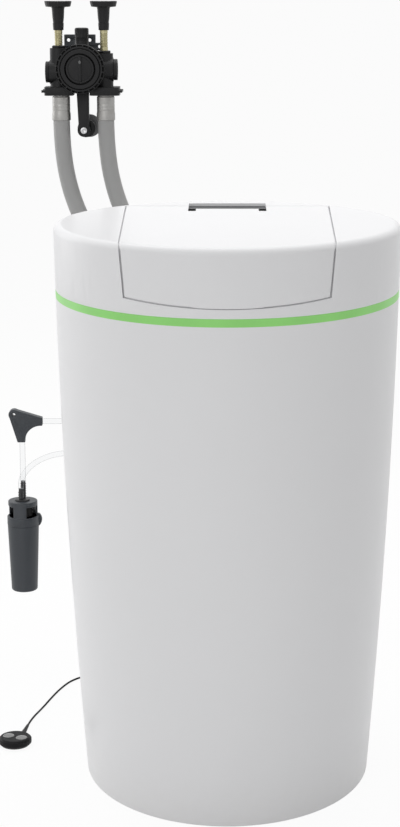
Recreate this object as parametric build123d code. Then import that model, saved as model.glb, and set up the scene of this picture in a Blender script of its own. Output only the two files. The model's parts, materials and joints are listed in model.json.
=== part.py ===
from build123d import *
import math
import os

os.makedirs("parts", exist_ok=True)

# Cabinet, all lengths in millimetres, origin on the floor below the middle of the widest plan
cabinet_width = 500.0
cabinet_front_depth = 290.0
cabinet_back_depth = 263.0
cabinet_height = 823.5
foot_draw_straight = 11.4
foot_draw_curved = 25.8
wall = 4.0
floor_thickness = 4.0
rim_radius = 11.0
ring_drop = 104.5
ring_low = cabinet_height - ring_drop
ring_height = 11.0
section_shares = (0, 1 / 3, 2 / 3, 1)
overrun = 60.0

# Salt lid and its seams
seam_inset = 100.6
seam_half_width = cabinet_width / 2 - seam_inset
seam_spread_share = 0.0265
seam_lean_share = 0.085
seam_gap = 2.0
lid_drop = 79.0
lid_low = cabinet_height - lid_drop
lid_corner_rise = 7.5
lid_corner_inset = 114.9
lid_corner_half_width = cabinet_width / 2 - lid_corner_inset
hinge_y = 183.0
lid_gap = 0.3
frame_thickness = 6.0
frame_margin = 14.0
frame_lip = 14.0
salt_mouth_back = 95.0
hinge_pin_radius = 1.5
hinge_pin_grip = 12.0
hinge_boss_width = 14.0
hinge_boss_depth = 11.0
running_clearance = 0.05
seat_clearance = 0.3

# Display console let into the top
console_half_width = 58.5
console_front = 121.5
console_back = 220.5
console_depth = 7.0
console_glass = 1.2
console_slack = 0.5
console_tray_wall = 6.0
console_tray_floor = 3.0
console_hollow = 3.4
tongue_half_width = 47.6
tongue_end = 149.0

# Salt tank and brine well
tank_inset = 10.0
tank_wall = 4.0
tank_back = 15.0
tank_drop = 133.5
tank_top = cabinet_height - tank_drop
grid_slack = 1.0
grid_height = 130.0
grid_thickness = 5.0
grid_hole_radius = 8.0
grid_hole_pitch = 36.0
grid_leg_radius = 8.0
grid_leg_inset = 140.0
grid_leg_x = cabinet_width / 2 - grid_leg_inset
grid_leg_setback = 130.0
grid_leg_front = grid_leg_setback - cabinet_front_depth
grid_leg_back = -25.0
well_inset = 110.0
well_x = cabinet_width / 2 - well_inset
well_y = -60.0
well_radius = 45.0
well_wall = 3.0
well_drop = 50.0
well_top = tank_top - well_drop
well_slot_width = 8.0
well_slot_height = 60.0
well_cap_thickness = 8.0
well_cap_lip = 12.0
brine_pipe_radius = 5.0
brine_pipe_bore = 3.5
brine_pipe_low = 24.0
brine_pipe_drop = 14.0
brine_pipe_level = tank_top - brine_pipe_drop
brine_pipe_bend = 25.0
brine_port_x = -30.0
float_radius = 37.0
float_height = 46.0
float_low = 66.0
float_stop_radius = 9.0
float_stop_height = 6.0
overflow_x = 75.0
overflow_z = 385.0

# Resin bottle and its pipes
bottle_x = -50.0
bottle_y = 110.0
bottle_radius = 85.0
bottle_wall = 3.5
bottle_foot_radius = 50.0
bottle_foot_rise = 40.0
bottle_shoulder = 310.0
bottle_neck_radius = 32.0
bottle_neck_wall = 5.0
bottle_neck_low = 380.0
bottle_neck_top = 415.0
bottle_foot_shares = (0.29, 0.71)
bottle_shoulder_shares = (0.62, 0.74)
riser_radius = 13.5
riser_bore = 11.0
riser_low = 40.0
strainer_radius = 22.0
strainer_height = 34.0
strainer_low = 12.0
strainer_slots = 12
strainer_slot_width = 2.0

# Control valve with its drive
valve_left = -172.0
valve_right = -30.0
valve_front = 75.0
valve_back = 145.0
valve_low = 425.0
valve_top = 495.0
valve_collar_radius = 42.0
valve_collar_low = 390.0
hose_axis_x = (-150.0, -78.0)
port_level = 460.0
port_face = 172.0
valve_port_radius = 17.0
water_bore = 10.0
piston_bore = 16.0
piston_low = -142.0
piston_high = -55.0
piston_land = 14.0
piston_neck_radius = 9.0
piston_lands = 4
piston_travel = 24.0
rod_radius = 5.0
bore_end = -168.0
end_cap_thickness = 14.0
gear_module = 1.5
pinion_teeth = 12
gear_slack = 0.35
gear_below_share = 1.2
gear_above_share = 0.9
tooth_tip_share = 0.11
tooth_root_share = 0.20
rack_height = 10.0
rack_length = 66.0
pinion_x = 35.0
motor_radius = 22.0
motor_length = 40.0
motor_shaft_radius = 3.0
motor_plate_thickness = 4.0
motor_plate_margin = 6.0
drive_gap = 1.0
turbine_radius = 9.4
turbine_hub = 3.2
turbine_axle = 1.5
turbine_length = 16.0
turbine_blades = 5
turbine_blade = 1.2
turbine_pitch_deg = 24.0
spider_thickness = 3.0
drain_x = -114.0
drain_level = 436.0
drain_port_radius = 9.0

# Technical cover and power unit
technical_cover_thickness = 3.0
power_left = -165.0
power_right = -65.0
power_front = 42.0
power_back = 118.0
power_height = 48.0

# Rear service cover with its glands
cover_left = -184.0
cover_right = -28.0
cover_low = 372.0
cover_top = 500.0
cover_thickness = 3.0
cover_overlap = 9.0
gland_level = 398.0
mains_gland_x = -135.0
sensor_gland_x = -60.0
gland_radius = 7.0
gland_nut_radius = 11.0
gland_nut_length = 7.0
gland_bore = 2.0
gland_tail = 264.0
gland_root = 195.0
nipple_radius = 4.5
nipple_bore = 2.5
nipple_flange_radius = 8.0
nipple_flange_thickness = 4.0

# Hose elbows and ferrules
elbow_radius = 15.0
elbow_y = 330.0
elbow_top = 500.0
elbow_bend = 22.0
ferrule_radius = 16.5
upper_ferrule_radius = 14.4
hose_radius = 13.5
hose_bore = 9.5

# Connection block on the wall
block_x = -235.5
block_y = 400.0
block_z = 1021.8
block_front = 370.0
block_back = 444.0
block_radius = 36.0
spindle_pitch = 73.0
column_radius = 14.5
column_tops = (1053.5, 1045.3)
column_base = 992.0
chamber_radius = 9.5
chamber_slack = 2.0
chamber_top = 1036.0
flange_low = 978.5
flange_left = -295.5
flange_right = -174.0
flange_split = 13.0
flange_half_depth = 21.0
clip_radius = 2.2
clip_reach = 4.5
clip_offset = 15.0
port_radius = 16.6
port_bore = 12.0
port_length = 6.5
port_shoulders = (-287.0, -184.0)
port_levels = (1015.5, 1019.3)
run_radius = 19.0
cap_radius = 11.3
cap_y = 412.0
cap_low = 1066.0
cap_top = 1085.5
plate_left = -266.0
plate_right = -215.0
plate_low = 980.0
plate_top = 1074.0
plate_thickness = 8.0
plate_hole_radius = 2.8
plate_hole_x = (-258.9, -224.6)
plate_hole_z = 1065.0
eyelet_radius = 6.0
eyelet_hole = 2.6
eyelet_places = ((-279.3, 1050.2), (-208.5, 1054.5))
face_front = 358.0
face_outer = 38.6
face_step = 33.5
face_middle = 31.6
face_inner = 24.7
face_step_depth = 4.0
face_slots = 24
face_slot_width = 3.0
dial_radius = 22.6
dial_ridge_width = 4.5
dial_ridge_height = 3.5
dial_ridge_share = 0.86
plug_radius = 15.0
plug_end = 424.0
plug_port = 8.0
foot_x = -226.6
foot_z = 926.4
foot_radius = 18.6
foot_thickness = 6.0
foot_claw_radius = 14.5
arm_x = -234.9
arm_end_x = -233.6
arm_end_z = 921.2
arm_half_width = 10.0
arm_end_radius = 10.5
arm_front = 402.0
arm_thickness = 14.0
arm_screw_radius = 5.2
arm_screw_shank = 2.5
arm_screw_height = 3.0

# Shut-off handles, spindles and discs
handle_radius = 22.2
handle_top = 1128.0
handle_flange = 9.0
handle_taper = 2.0
sleeve_top_radius = 10.3
sleeve_low_radius = 8.3
sleeve_low = 1082.0
handle_socket = 16.0
handle_inlay_radius = 17.5
handle_inlay_depth = 0.8
spindle_radius = 6.4
spindle_low = 1012.0
spindle_neck_radius = 4.0
spindle_neck_length = 10.0
spindle_head_length = 3.0
spindle_head_radius = 5.5
disc_radius = 9.4
disc_low = 996.0
disc_height = 22.0
shutoff_travel = 10.0

# Hose bracket beside the cabinet
bracket_y = 400.0
bracket_depth = 14.0
bracket_hole_radius = 2.7
bracket_apex = (-358.3, 448.0)
bracket_apex_radius = 9.0
bracket_right = -311.0
bracket_right_top = 442.6
bracket_right_low = 429.2
bracket_bottom = 400.6
bracket_bottom_left = -353.0
bracket_bottom_right = -340.6
bracket_inner_radius = 27.0
clear_hose_radius = 4.5
clear_hose_bore = 3.0

# Drain adaptor
drain_axis_x = -347.2
drain_axis_y = 400.0
drain_disc_radius = 24.7
drain_disc_low = 290.0
drain_disc_top = 298.5
drain_post_half_deg = 28.0
drain_post_first_deg = -98.0
drain_posts = 3
drain_window_low = 272.0
drain_head_low = 256.5
drain_head_radius = 26.8
drain_wall = 2.6
drain_top_radius = 26.5
drain_bottom_radius = 22.0
drain_tube_low = 141.0
drain_foot_radius = 6.0
drain_ear_radius = 14.5
drain_ear_x = -330.0
drain_ear_z = 264.0
drain_ear_thickness = 8.0
barb_radius = 4.3
barb_places = ((-349.3, 394.0, 320.5), (-346.5, 406.0, 331.0))
barb_base_radius = 12.5
barb_base_height = 2.5
barb_bore = 2.5
barb_tail = 9.0

# Floor water sensor and its cord
sensor_x = -330.0
sensor_y = 48.0
sensor_radius = 25.5
sensor_height = 14.0
sensor_chamfer = 3.0
sensor_foot_chamfer = 4.5
contact_radius = 9.0
contact_height = 1.2
contact_sink = 1.0
contact_places = ((-340.4, 51.3), (-319.6, 43.0))
relief_root = (-323.0, 68.0)
relief_root_radius = 4.6
relief_tip_radius = 2.1
cord_radius = 1.6
cord_lift = 0.2
coil_x = -180.0
coil_y = 330.0
coil_outer_radius = 28.0
coil_pitch = 4.5
coil_layer_step = 4.0
coil_turns_in = 4
coil_half_turns_out = 7
bend_share = 0.45

# Routes of the hoses and the cord, each point chosen by hand
inlet_route = [
    (-269.5, 400, 938),
    (-269.5, 400, 888),
    (-252, 398, 822),
    (-228, 389, 765),
    (-196, 368, 710),
    (-166, 345, 655),
    (-150, 330, 600),
    (-150, 330, 540),
]
outlet_route = [
    (-197.3, 400, 938),
    (-197.3, 400, 888),
    (-180, 398, 822),
    (-156, 389, 765),
    (-124, 368, 710),
    (-94, 345, 655),
    (-78, 330, 600),
    (-78, 330, 540),
]
drain_route = [
    (-114, 264, 436),
    (-114, 322, 436),
    (-134, 372, 438.5),
    (-184, 398, 437.5),
    (-250, 400, 436),
    (-345.7, 400, 436),
    (-345.7, 400, 386),
    (-346.5, 406, 354),
    (-346.5, 406, 331),
]
overflow_route = [
    (75, 264, 385),
    (75, 318, 385),
    (52, 366, 384),
    (0, 392, 383),
    (-60, 397, 382),
    (-125, 396, 381),
    (-190, 393, 381.5),
    (-245, 395, 383),
    (-285.2, 395, 381.4),
    (-311.8, 395, 372.8),
    (-330.5, 394.6, 361.1),
    (-343.2, 394.2, 347),
    (-349.3, 394, 334),
    (-349.3, 394, 320.5),
]
floor_route = [
    (-317, 118, 4.6),
    (-313.64, 146, 4.6),
    (-302, 193, 1.8),
    (-292.5, 233, 1.8),
    (-279, 280, 1.8),
    (-262, 321, 1.8),
    (-236, 349, 1.8),
    (-208, 358, 1.8),
    (-183.2, 358, 1.8),
]
riser_route = [
    (-176.8, 355.75, 5.8),
    (-154, 355.75, 5.8),
    (-122, 346, 15),
    (-96, 334, 44),
    (-79, 321, 88),
    (-69, 311, 138),
    (-63, 306, 190),
    (-60, 304, 245),
    (-59, 303, 300),
    (-60, 304, 346),
    (-60.5, 299, 378),
    (-60, 285, 398),
    (-60, 264, 398),
]
bracket_bend = 32.0


def box(x_low, x_high, y_low, y_high, z_low, z_high):
    """A box between two corners."""
    middle = Pos((x_low + x_high) / 2, (y_low + y_high) / 2, (z_low + z_high) / 2)
    return middle * Box(x_high - x_low, y_high - y_low, z_high - z_low)


def post(radius, x, y, low, high, top_radius=None):
    """An upright cylinder, or a cone if the top radius differs."""
    place = Pos(x, y, (low + high) / 2)
    if top_radius is None:
        return place * Cylinder(radius, high - low)
    return place * Cone(radius, top_radius, high - low)


def bar_x(radius, y, z, low, high):
    """A cylinder along X."""
    return Pos((low + high) / 2, y, z) * Rot(0, 90, 0) * Cylinder(radius, high - low)


def bar_y(radius, x, z, low, high, far_radius=None):
    """A cylinder along Y, or a cone if the far radius differs."""
    place = Pos(x, (low + high) / 2, z) * Rot(-90, 0, 0)
    if far_radius is None:
        return place * Cylinder(radius, high - low)
    return place * Cone(radius, far_radius, high - low)


def draw_at(height):
    """How far the side has drawn in at a height, from its size at the top."""
    share = (cabinet_height - height) / cabinet_height
    return foot_draw_straight * share + foot_draw_curved * share * share


def plan_at(height, inset):
    """The cabinet's plan at a height, a long half ellipse in front of a shorter one."""
    draw = draw_at(height) + inset
    half_width = cabinet_width / 2 - draw
    front_arc = EllipticalCenterArc((0, 0), half_width, cabinet_front_depth - draw, start_angle=180, arc_size=180)
    back_arc = EllipticalCenterArc((0, 0), half_width, cabinet_back_depth - draw, start_angle=0, arc_size=180)
    return Pos(0, 0, height) * make_face(front_arc + back_arc)


def form(inset, low, top, rim=0):
    """The cabinet's form at an inset, between two heights, with a rounded rim if asked."""
    body = loft([plan_at(low + (top - low) * share, inset) for share in section_shares])
    if rim > 0:
        body = fillet(body.edges().group_by(Axis.Z)[-1], rim)
    return body


def back_surface(x, z, inset):
    """Y of the cabinet's back at a place, at an inset."""
    draw = draw_at(z) + inset
    share = x / (cabinet_width / 2 - draw)
    return (cabinet_back_depth - draw) * math.sqrt(1 - share * share)


def slab(low, high):
    """Everything between two heights."""
    reach = cabinet_width
    return box(-reach, reach, -reach, reach, low, high)


def seam_at(y, z, extra):
    """Half width of the lid at a place."""
    lean = seam_lean_share * (cabinet_height - z)
    return seam_half_width + seam_spread_share * y - lean + extra


def lid_wedge(extra, back, low):
    """The tapered region that the lid fills, between its two side seams."""
    front = -(cabinet_front_depth + overrun)
    faces = []
    for z in (low, cabinet_height + overrun):
        narrow = seam_at(front, z, extra)
        wide = seam_at(back, z, extra)
        corners = [(-narrow, front, z), (narrow, front, z), (wide, back, z), (-wide, back, z)]
        faces.append(make_face(Polyline(*corners, close=True)))
    return loft(faces, ruled=True)


def lid_region(extra):
    """The lid's region, closed below by its shallow curved edge."""
    chord = lid_corner_half_width
    radius = (chord * chord + lid_corner_rise * lid_corner_rise) / (2 * lid_corner_rise)
    low = lid_low - overrun
    reach = cabinet_front_depth + 2 * overrun
    round_below = bar_y(radius + extra, 0, lid_low + radius, -reach, reach)
    return lid_wedge(extra, hinge_y, low) & round_below


def largest(shape):
    """The largest solid of a shape."""
    return max(shape.solids(), key=lambda solid: solid.volume)


def path_of(points, fixed=None):
    """A cord's path: straight runs joined by tangent arcs as large as the runs allow."""
    corners = [Vector(*point) for point in points]
    runs = [b - a for a, b in zip(corners, corners[1:])]
    radii = []
    for index, (before, after) in enumerate(zip(runs, runs[1:])):
        turn = math.radians(before.get_angle(after))
        radius = bend_share * min(before.length, after.length) / math.tan(turn / 2)
        if fixed and index + 1 in fixed:
            radius = fixed[index + 1]
        radii.append(radius)
    return FilletPolyline(*corners, radius=radii), radii


def tube(points, radius, bore=0, fixed=None, label=""):
    """A hose or cord swept along its route."""
    path, radii = path_of(points, fixed)
    start = Plane(origin=points[0], z_dir=Vector(*points[1]) - Vector(*points[0]))
    body = sweep(start * Circle(radius), path=path)
    area = math.pi * radius * radius
    if bore:
        body = body - sweep(start * Circle(bore), path=path)
        area = area - math.pi * bore * bore
    print(label, "length", round(path.length, 1), "radii", [round(r, 1) for r in radii],
          "volume share", round(body.volume / (area * path.length), 4))
    return body


outer = form(0, 0, cabinet_height, rim_radius)
inner = form(wall, -overrun / 2, cabinet_height - wall, rim_radius - wall)
below_lid = wall + lid_gap
under_frame = below_lid + frame_thickness
lid_bed = form(below_lid, 0, cabinet_height - below_lid, rim_radius - below_lid)
frame_bed = form(under_frame, 0, cabinet_height - under_frame, rim_radius - under_frame)
ring_top = ring_low + ring_height
parts = {}

# Cabinet shell
rear_window = box(cover_left + cover_overlap, cover_right - cover_overlap, 0, 2 * cabinet_back_depth,
                  cover_low + cover_overlap, cover_top - cover_overlap)
shell = (outer & slab(0, ring_low)) - (inner & slab(floor_thickness, cabinet_height))
overflow_hole = bar_y(nipple_radius + console_slack, overflow_x, overflow_z, 0, 2 * cabinet_back_depth)
shell = shell - rear_window - overflow_hole
parts["cabinet_shell"] = shell

# Light ring, flush between shell and hood
parts["light_ring"] = (outer - inner) & slab(ring_low, ring_top)

# Salt lid with its rounded hinge nose
hinge_z = cabinet_height - wall
lid_half = seam_at(hinge_y, cabinet_height, 0)
notch_half = console_half_width + console_slack
notch = box(-notch_half, notch_half, console_front - console_slack, hinge_y + overrun,
            hinge_z - overrun, cabinet_height + overrun)
tongue = box(-tongue_half_width, tongue_half_width, console_front - 2 * console_slack, tongue_end,
             hinge_z - overrun, cabinet_height + overrun)
lid = (outer - inner) & lid_region(0)
lid = lid + bar_x(wall, hinge_y, hinge_z, -lid_half, lid_half)
lid = lid - (notch - tongue)
pin_reach = lid_half + seam_gap + hinge_pin_grip
lid = lid - bar_x(hinge_pin_radius + running_clearance, hinge_y, hinge_z,
                  lid_half - hinge_pin_grip - seam_gap, pin_reach)
lid = lid - bar_x(hinge_pin_radius + running_clearance, hinge_y, hinge_z,
                  -pin_reach, hinge_pin_grip + seam_gap - lid_half)
parts["salt_lid"] = lid

# Hood: top with the frame under the lid, the console tray and the hinge bosses
tray_top = cabinet_height - below_lid
tray_bed = tray_top - console_depth
tray_half = console_half_width + console_tray_wall
cavity = inner - (lid_wedge(frame_margin, console_back + 2 * console_tray_wall, lid_low - overrun) - frame_bed)
cavity = cavity - box(-tray_half, tray_half, console_front - console_tray_wall,
                      console_back + console_tray_wall, tray_bed - console_tray_floor, cabinet_height)
for side in (-1, 1):
    boss_in = side * (lid_half + seam_gap)
    boss_out = side * (lid_half + seam_gap + hinge_boss_width)
    cavity = cavity - box(min(boss_in, boss_out), max(boss_in, boss_out), hinge_y - hinge_boss_depth / 2,
                          hinge_y + hinge_boss_depth / 2, hinge_z - hinge_boss_depth / 2, cabinet_height)
hood = (outer & slab(ring_top, cabinet_height)) - cavity
hood = hood - (lid_region(seam_gap) - lid_bed)
nose_reach = lid_half + seam_gap / 2
hood = hood - bar_x(wall + lid_gap, hinge_y, hinge_z, -nose_reach, nose_reach)
hood = hood - box(-nose_reach, nose_reach, hinge_y, hinge_y + wall + 2 * lid_gap, hinge_z,
                  cabinet_height + overrun)
mouth = form(wall + frame_lip, ring_top, cabinet_height) & lid_wedge(-frame_lip, salt_mouth_back, ring_top)
hood = hood - mouth
hood = hood - box(-notch_half, notch_half, console_front - console_slack, console_back + console_slack,
                  tray_bed, cabinet_height + overrun)
for side in (-1, 1):
    pin_from = side * lid_half
    pin_to = side * pin_reach
    hood = hood - bar_x(hinge_pin_radius, hinge_y, hinge_z, min(pin_from, pin_to), max(pin_from, pin_to))
parts["hood"] = hood

# Hinge pins
pins = [bar_x(hinge_pin_radius, hinge_y, hinge_z, lid_half - hinge_pin_grip, pin_reach),
        bar_x(hinge_pin_radius, hinge_y, hinge_z, -pin_reach, hinge_pin_grip - lid_half)]
parts["lid_hinge_pins"] = Compound(children=pins)

# Display console and its glass
glass_low = tray_top - console_glass
console = box(-console_half_width, console_half_width, console_front, console_back, tray_bed, glass_low)
console = console - box(-tongue_half_width, tongue_half_width, tongue_end, console_back - console_tray_wall,
                        glass_low - console_hollow, glass_low)
parts["display_console"] = console
parts["display_glass"] = box(-console_half_width, console_half_width, console_front, console_back,
                             glass_low, tray_top)

# Salt tank with a grommet hole for the brine pipe and a hole for the overflow
front_half = box(-cabinet_width, cabinet_width, -cabinet_width, tank_back, 0, cabinet_height)
tank = form(tank_inset, floor_thickness, tank_top) & front_half
hollow = form(tank_inset + tank_wall, floor_thickness + tank_wall, tank_top + overrun)
tank = tank - (hollow & box(-cabinet_width, cabinet_width, -cabinet_width, tank_back - tank_wall, 0,
                            cabinet_height))
tank = tank - bar_y(brine_pipe_radius + console_slack, well_x, brine_pipe_level, 0, 2 * tank_back)
tank = tank - bar_y(nipple_bore, overflow_x, overflow_z, 0, 2 * tank_back)
parts["salt_tank"] = tank

# Salt grid on four legs
tank_floor = floor_thickness + tank_wall
grid_inset = tank_inset + tank_wall + grid_slack
grid_back = tank_back - tank_wall - grid_slack
grid_top = grid_height + grid_thickness
grid = form(grid_inset, grid_height, grid_top) & box(
    -cabinet_width, cabinet_width, -cabinet_width, grid_back, 0, cabinet_height)
grid = grid - post(well_radius + grid_slack, well_x, well_y, grid_height, grid_top)
holes = []
columns = int(cabinet_width / grid_hole_pitch / 2)
rows = int(cabinet_front_depth / grid_hole_pitch)
half_across = cabinet_width / 2 - draw_at(grid_height) - grid_inset - 2 * grid_hole_radius
half_deep = cabinet_front_depth - draw_at(grid_height) - grid_inset - 2 * grid_hole_radius
for column in range(-columns, columns + 1):
    for row in range(1, rows + 1):
        x = column * grid_hole_pitch
        y = grid_back + grid_hole_pitch / 2 - row * grid_hole_pitch
        inside = (x / half_across) ** 2 + (y / half_deep) ** 2 < 1
        off_well = math.hypot(x - well_x, y - well_y) > well_radius + 2 * grid_hole_radius
        off_legs = all(math.hypot(abs(x) - grid_leg_x, y - leg_y) > grid_leg_radius + grid_hole_radius
                       for leg_y in (grid_leg_front, grid_leg_back))
        if inside and off_well and off_legs:
            holes.append(post(grid_hole_radius, x, y, grid_height, grid_top))
grid = grid - holes
for leg_x, leg_y in ((-grid_leg_x, grid_leg_front), (grid_leg_x, grid_leg_front),
                     (-grid_leg_x, grid_leg_back), (0, grid_leg_back)):
    grid = grid + post(grid_leg_radius, leg_x, leg_y, tank_floor, grid_height)
parts["salt_grid"] = grid

# Brine well, its cap and the brine pipe
well = post(well_radius, well_x, well_y, tank_floor, well_top)
well = well - post(well_radius - well_wall, well_x, well_y, tank_floor, well_top)
slot_top = tank_floor + well_slot_height
well = well - box(well_x - well_radius, well_x + well_radius, well_y - well_slot_width / 2,
                  well_y + well_slot_width / 2, tank_floor, slot_top)
well = well - box(well_x - well_slot_width / 2, well_x + well_slot_width / 2, well_y - well_radius,
                  well_y + well_radius, tank_floor, slot_top)
parts["brine_well"] = well
well_inner = well_radius - well_wall
cap = post(well_radius, well_x, well_y, well_top, well_top + well_cap_thickness)
cap = cap + post(well_inner - seat_clearance, well_x, well_y, well_top - well_cap_lip, well_top)
cap = cap - post(brine_pipe_radius + seat_clearance, well_x, well_y, well_top - well_cap_lip,
                 well_top + well_cap_thickness)
parts["brine_well_cap"] = cap

brine_turns = [(well_x, well_y, brine_pipe_low), (well_x, well_y, brine_pipe_level),
               (well_x, bottle_y, brine_pipe_level), (brine_port_x - rod_radius, bottle_y, brine_pipe_level),
               (brine_port_x - rod_radius, bottle_y, valve_top)]
brine_path = FilletPolyline(*brine_turns, radius=brine_pipe_bend)
brine_start = Plane(origin=brine_turns[0], z_dir=(0, 0, 1))
brine_pipe = sweep(brine_start * Circle(brine_pipe_radius), path=brine_path)
brine_pipe = brine_pipe + post(float_stop_radius, well_x, well_y, float_low - float_stop_height, float_low)
foot_valve_low = tank_floor
brine_pipe = brine_pipe + post(2 * brine_pipe_radius, well_x, well_y, foot_valve_low,
                               brine_pipe_low + brine_pipe_radius)
brine_pipe = brine_pipe - sweep(brine_start * Circle(brine_pipe_bore), path=brine_path)
parts["brine_pipe"] = brine_pipe

# Brine float, free to rise on the pipe
brine_float = post(float_radius, well_x, well_y, float_low, float_low + float_height)
brine_float = fillet(brine_float.edges().filter_by(GeomType.CIRCLE), float_stop_height)
brine_float = brine_float - post(brine_pipe_radius + 2 * running_clearance, well_x, well_y, float_low,
                                 float_low + float_height)
parts["brine_float"] = brine_float

# Resin bottle: a wound pressure bottle with rounded ends and a threaded neck

def bottle_profile(inset, foot, neck_radius):
    """Half section of the bottle, at an inset from its outside."""
    radius = bottle_radius - inset
    low = foot + inset
    knee = low + bottle_foot_rise - inset
    neck = bottle_neck_low - inset / 2
    lines = Line((0, low), (bottle_foot_radius - inset, low))
    lines += ThreePointArc((bottle_foot_radius - inset, low),
                           (radius - (radius - bottle_foot_radius) * bottle_foot_shares[0],
                            knee - (knee - low) * bottle_foot_shares[1]),
                           (radius, knee))
    lines += Line((radius, knee), (radius, bottle_shoulder))
    lines += ThreePointArc((radius, bottle_shoulder),
                           (neck_radius + (radius - neck_radius) * bottle_shoulder_shares[0],
                            bottle_shoulder + (neck - bottle_shoulder) * bottle_shoulder_shares[1]),
                           (neck_radius, neck))
    lines += Line((neck_radius, neck), (neck_radius, bottle_neck_top))
    lines += Line((neck_radius, bottle_neck_top), (0, bottle_neck_top))
    lines += Line((0, bottle_neck_top), (0, low))
    return Plane.XZ * make_face(lines)


bottle = revolve(bottle_profile(0, floor_thickness, bottle_neck_radius), Axis.Z)
bottle = bottle - revolve(bottle_profile(bottle_wall, floor_thickness, bottle_neck_radius - bottle_neck_wall), Axis.Z)
parts["resin_bottle"] = Pos(bottle_x, bottle_y, 0) * bottle

riser = post(riser_radius, bottle_x, bottle_y, riser_low, valve_low + riser_radius)
riser = riser - post(riser_bore, bottle_x, bottle_y, riser_low, valve_low + riser_radius)
parts["riser_pipe"] = riser

strainer_top = strainer_low + strainer_height
strainer = post(strainer_radius, bottle_x, bottle_y, strainer_low, strainer_top)
strainer = strainer - post(strainer_radius - well_wall, bottle_x, bottle_y, strainer_low + well_wall,
                           riser_low - well_wall)
strainer = strainer - post(riser_bore, bottle_x, bottle_y, strainer_low + well_wall, strainer_top)
strainer = strainer - post(riser_radius + running_clearance, bottle_x, bottle_y, riser_low, strainer_top)
slots = []
for index in range(strainer_slots):
    turn = 360 / strainer_slots * index
    slots.append(Pos(bottle_x, bottle_y, 0) * Rot(0, 0, turn) * box(
        strainer_radius - 2 * well_wall, strainer_radius + well_wall, -strainer_slot_width / 2,
        strainer_slot_width / 2, strainer_low + 2 * well_wall, riser_low - 2 * well_wall))
parts["bottom_strainer"] = strainer - slots

# Control valve body with its water ports, piston bore, drain port and turbine spider
valve = box(valve_left, valve_right, valve_front, valve_back, valve_low, valve_top)
valve = fillet(valve.edges().filter_by(Axis.X), motor_plate_margin)
valve = valve + post(valve_collar_radius, bottle_x, bottle_y, valve_collar_low, valve_low)
for x in hose_axis_x:
    valve = valve + bar_y(valve_port_radius, x, port_level, valve_back - wall, port_face)
valve = valve + bar_y(drain_port_radius, drain_x, drain_level, valve_back - wall, port_face)
valve = valve - bar_x(piston_bore, bottle_y, port_level, bore_end, valve_right)
valve = valve - post(bottle_neck_radius + running_clearance, bottle_x, bottle_y, valve_collar_low,
                     bottle_neck_top)
valve = valve - post(riser_radius + running_clearance, bottle_x, bottle_y, bottle_neck_top,
                     valve_low + riser_radius)
valve = valve - post(riser_bore, bottle_x, bottle_y, valve_low + riser_radius, port_level)
for x in hose_axis_x:
    valve = valve - bar_y(water_bore, x, port_level, bottle_y, port_face)
valve = valve - bar_y(nipple_bore, drain_x, drain_level, bottle_y, port_face)
drain_up = post(nipple_bore, drain_x, bottle_y, drain_level, port_level)
valve = valve - drain_up
valve = valve - post(brine_pipe_bore, brine_port_x - rod_radius, bottle_y, port_level, valve_top)
turbine_x = hose_axis_x[1]
spider_high = port_face - spider_thickness
axle = bar_y(turbine_axle, turbine_x, port_level, spider_high - turbine_length - spider_thickness, port_face)
spider = box(turbine_x - water_bore, turbine_x + water_bore, spider_high, port_face,
             port_level - turbine_axle, port_level + turbine_axle)
valve = valve + axle + (spider & bar_y(water_bore, turbine_x, port_level, spider_high, port_face))
parts["control_valve_body"] = valve

# Meter turbine on its axle
turbine_low = spider_high - seat_clearance - turbine_length
turbine_high = spider_high - seat_clearance
turbine = bar_y(turbine_hub, turbine_x, port_level, turbine_low, turbine_high)
blade_chord = turbine_length * math.cos(math.radians(turbine_pitch_deg)) - 2 * turbine_blade
for index in range(turbine_blades):
    blade = box(-turbine_blade / 2, turbine_blade / 2, -blade_chord / 2, blade_chord / 2,
                turbine_hub / 2, turbine_radius)
    blade = Rot(0, 0, turbine_pitch_deg) * blade
    blade = Rot(0, 360 / turbine_blades * index, 0) * blade
    turbine = turbine + Pos(turbine_x, (turbine_low + turbine_high) / 2, port_level) * blade
turbine = turbine & bar_y(turbine_radius, turbine_x, port_level, turbine_low, turbine_high)
turbine = turbine - bar_y(turbine_axle + running_clearance, turbine_x, port_level, turbine_low, turbine_high)
parts["meter_turbine"] = turbine

# Control piston: four lands on a neck, a rod and a rack
cap_high = valve_right + end_cap_thickness
piston_fit = piston_bore - running_clearance
rack_low = cap_high + piston_travel + motor_plate_margin
piston = bar_x(piston_neck_radius, bottle_y, port_level, piston_low, piston_high)
land_step = (piston_high - piston_low - piston_land) / (piston_lands - 1)
for index in range(piston_lands):
    land_start = piston_low + land_step * index
    piston = piston + bar_x(piston_fit, bottle_y, port_level, land_start, land_start + piston_land)
piston = piston + bar_x(rod_radius, bottle_y, port_level, piston_high, rack_low + rod_radius)
tooth_pitch = math.pi * gear_module
pitch_line = port_level + rack_height / 2
rack_top = pitch_line - gear_below_share * gear_module
rack = box(rack_low, rack_low + rack_length, bottle_y - rod_radius, bottle_y + rod_radius,
           port_level - rack_height / 2, rack_top)
teeth = int((rack_length - tooth_pitch) / tooth_pitch)
first_tooth = pinion_x + tooth_pitch / 2 - tooth_pitch * round((pinion_x - rack_low) / tooth_pitch - 1)


def tooth(center_x, z_root, z_tip):
    """One straight rack tooth."""
    root = tooth_root_share * tooth_pitch
    tip = tooth_tip_share * tooth_pitch
    outline = Polyline((center_x - root, z_root), (center_x - tip, z_tip), (center_x + tip, z_tip),
                       (center_x + root, z_root), close=True)
    face = Plane.XZ * make_face(outline)
    return Pos(0, bottle_y + rod_radius, 0) * extrude(face, 2 * rod_radius)


for index in range(teeth - 1):
    rack = rack + tooth(first_tooth + tooth_pitch * index, rack_top - gear_slack, pitch_line + gear_above_share * gear_module)
piston = piston + rack
parts["control_piston"] = piston

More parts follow.
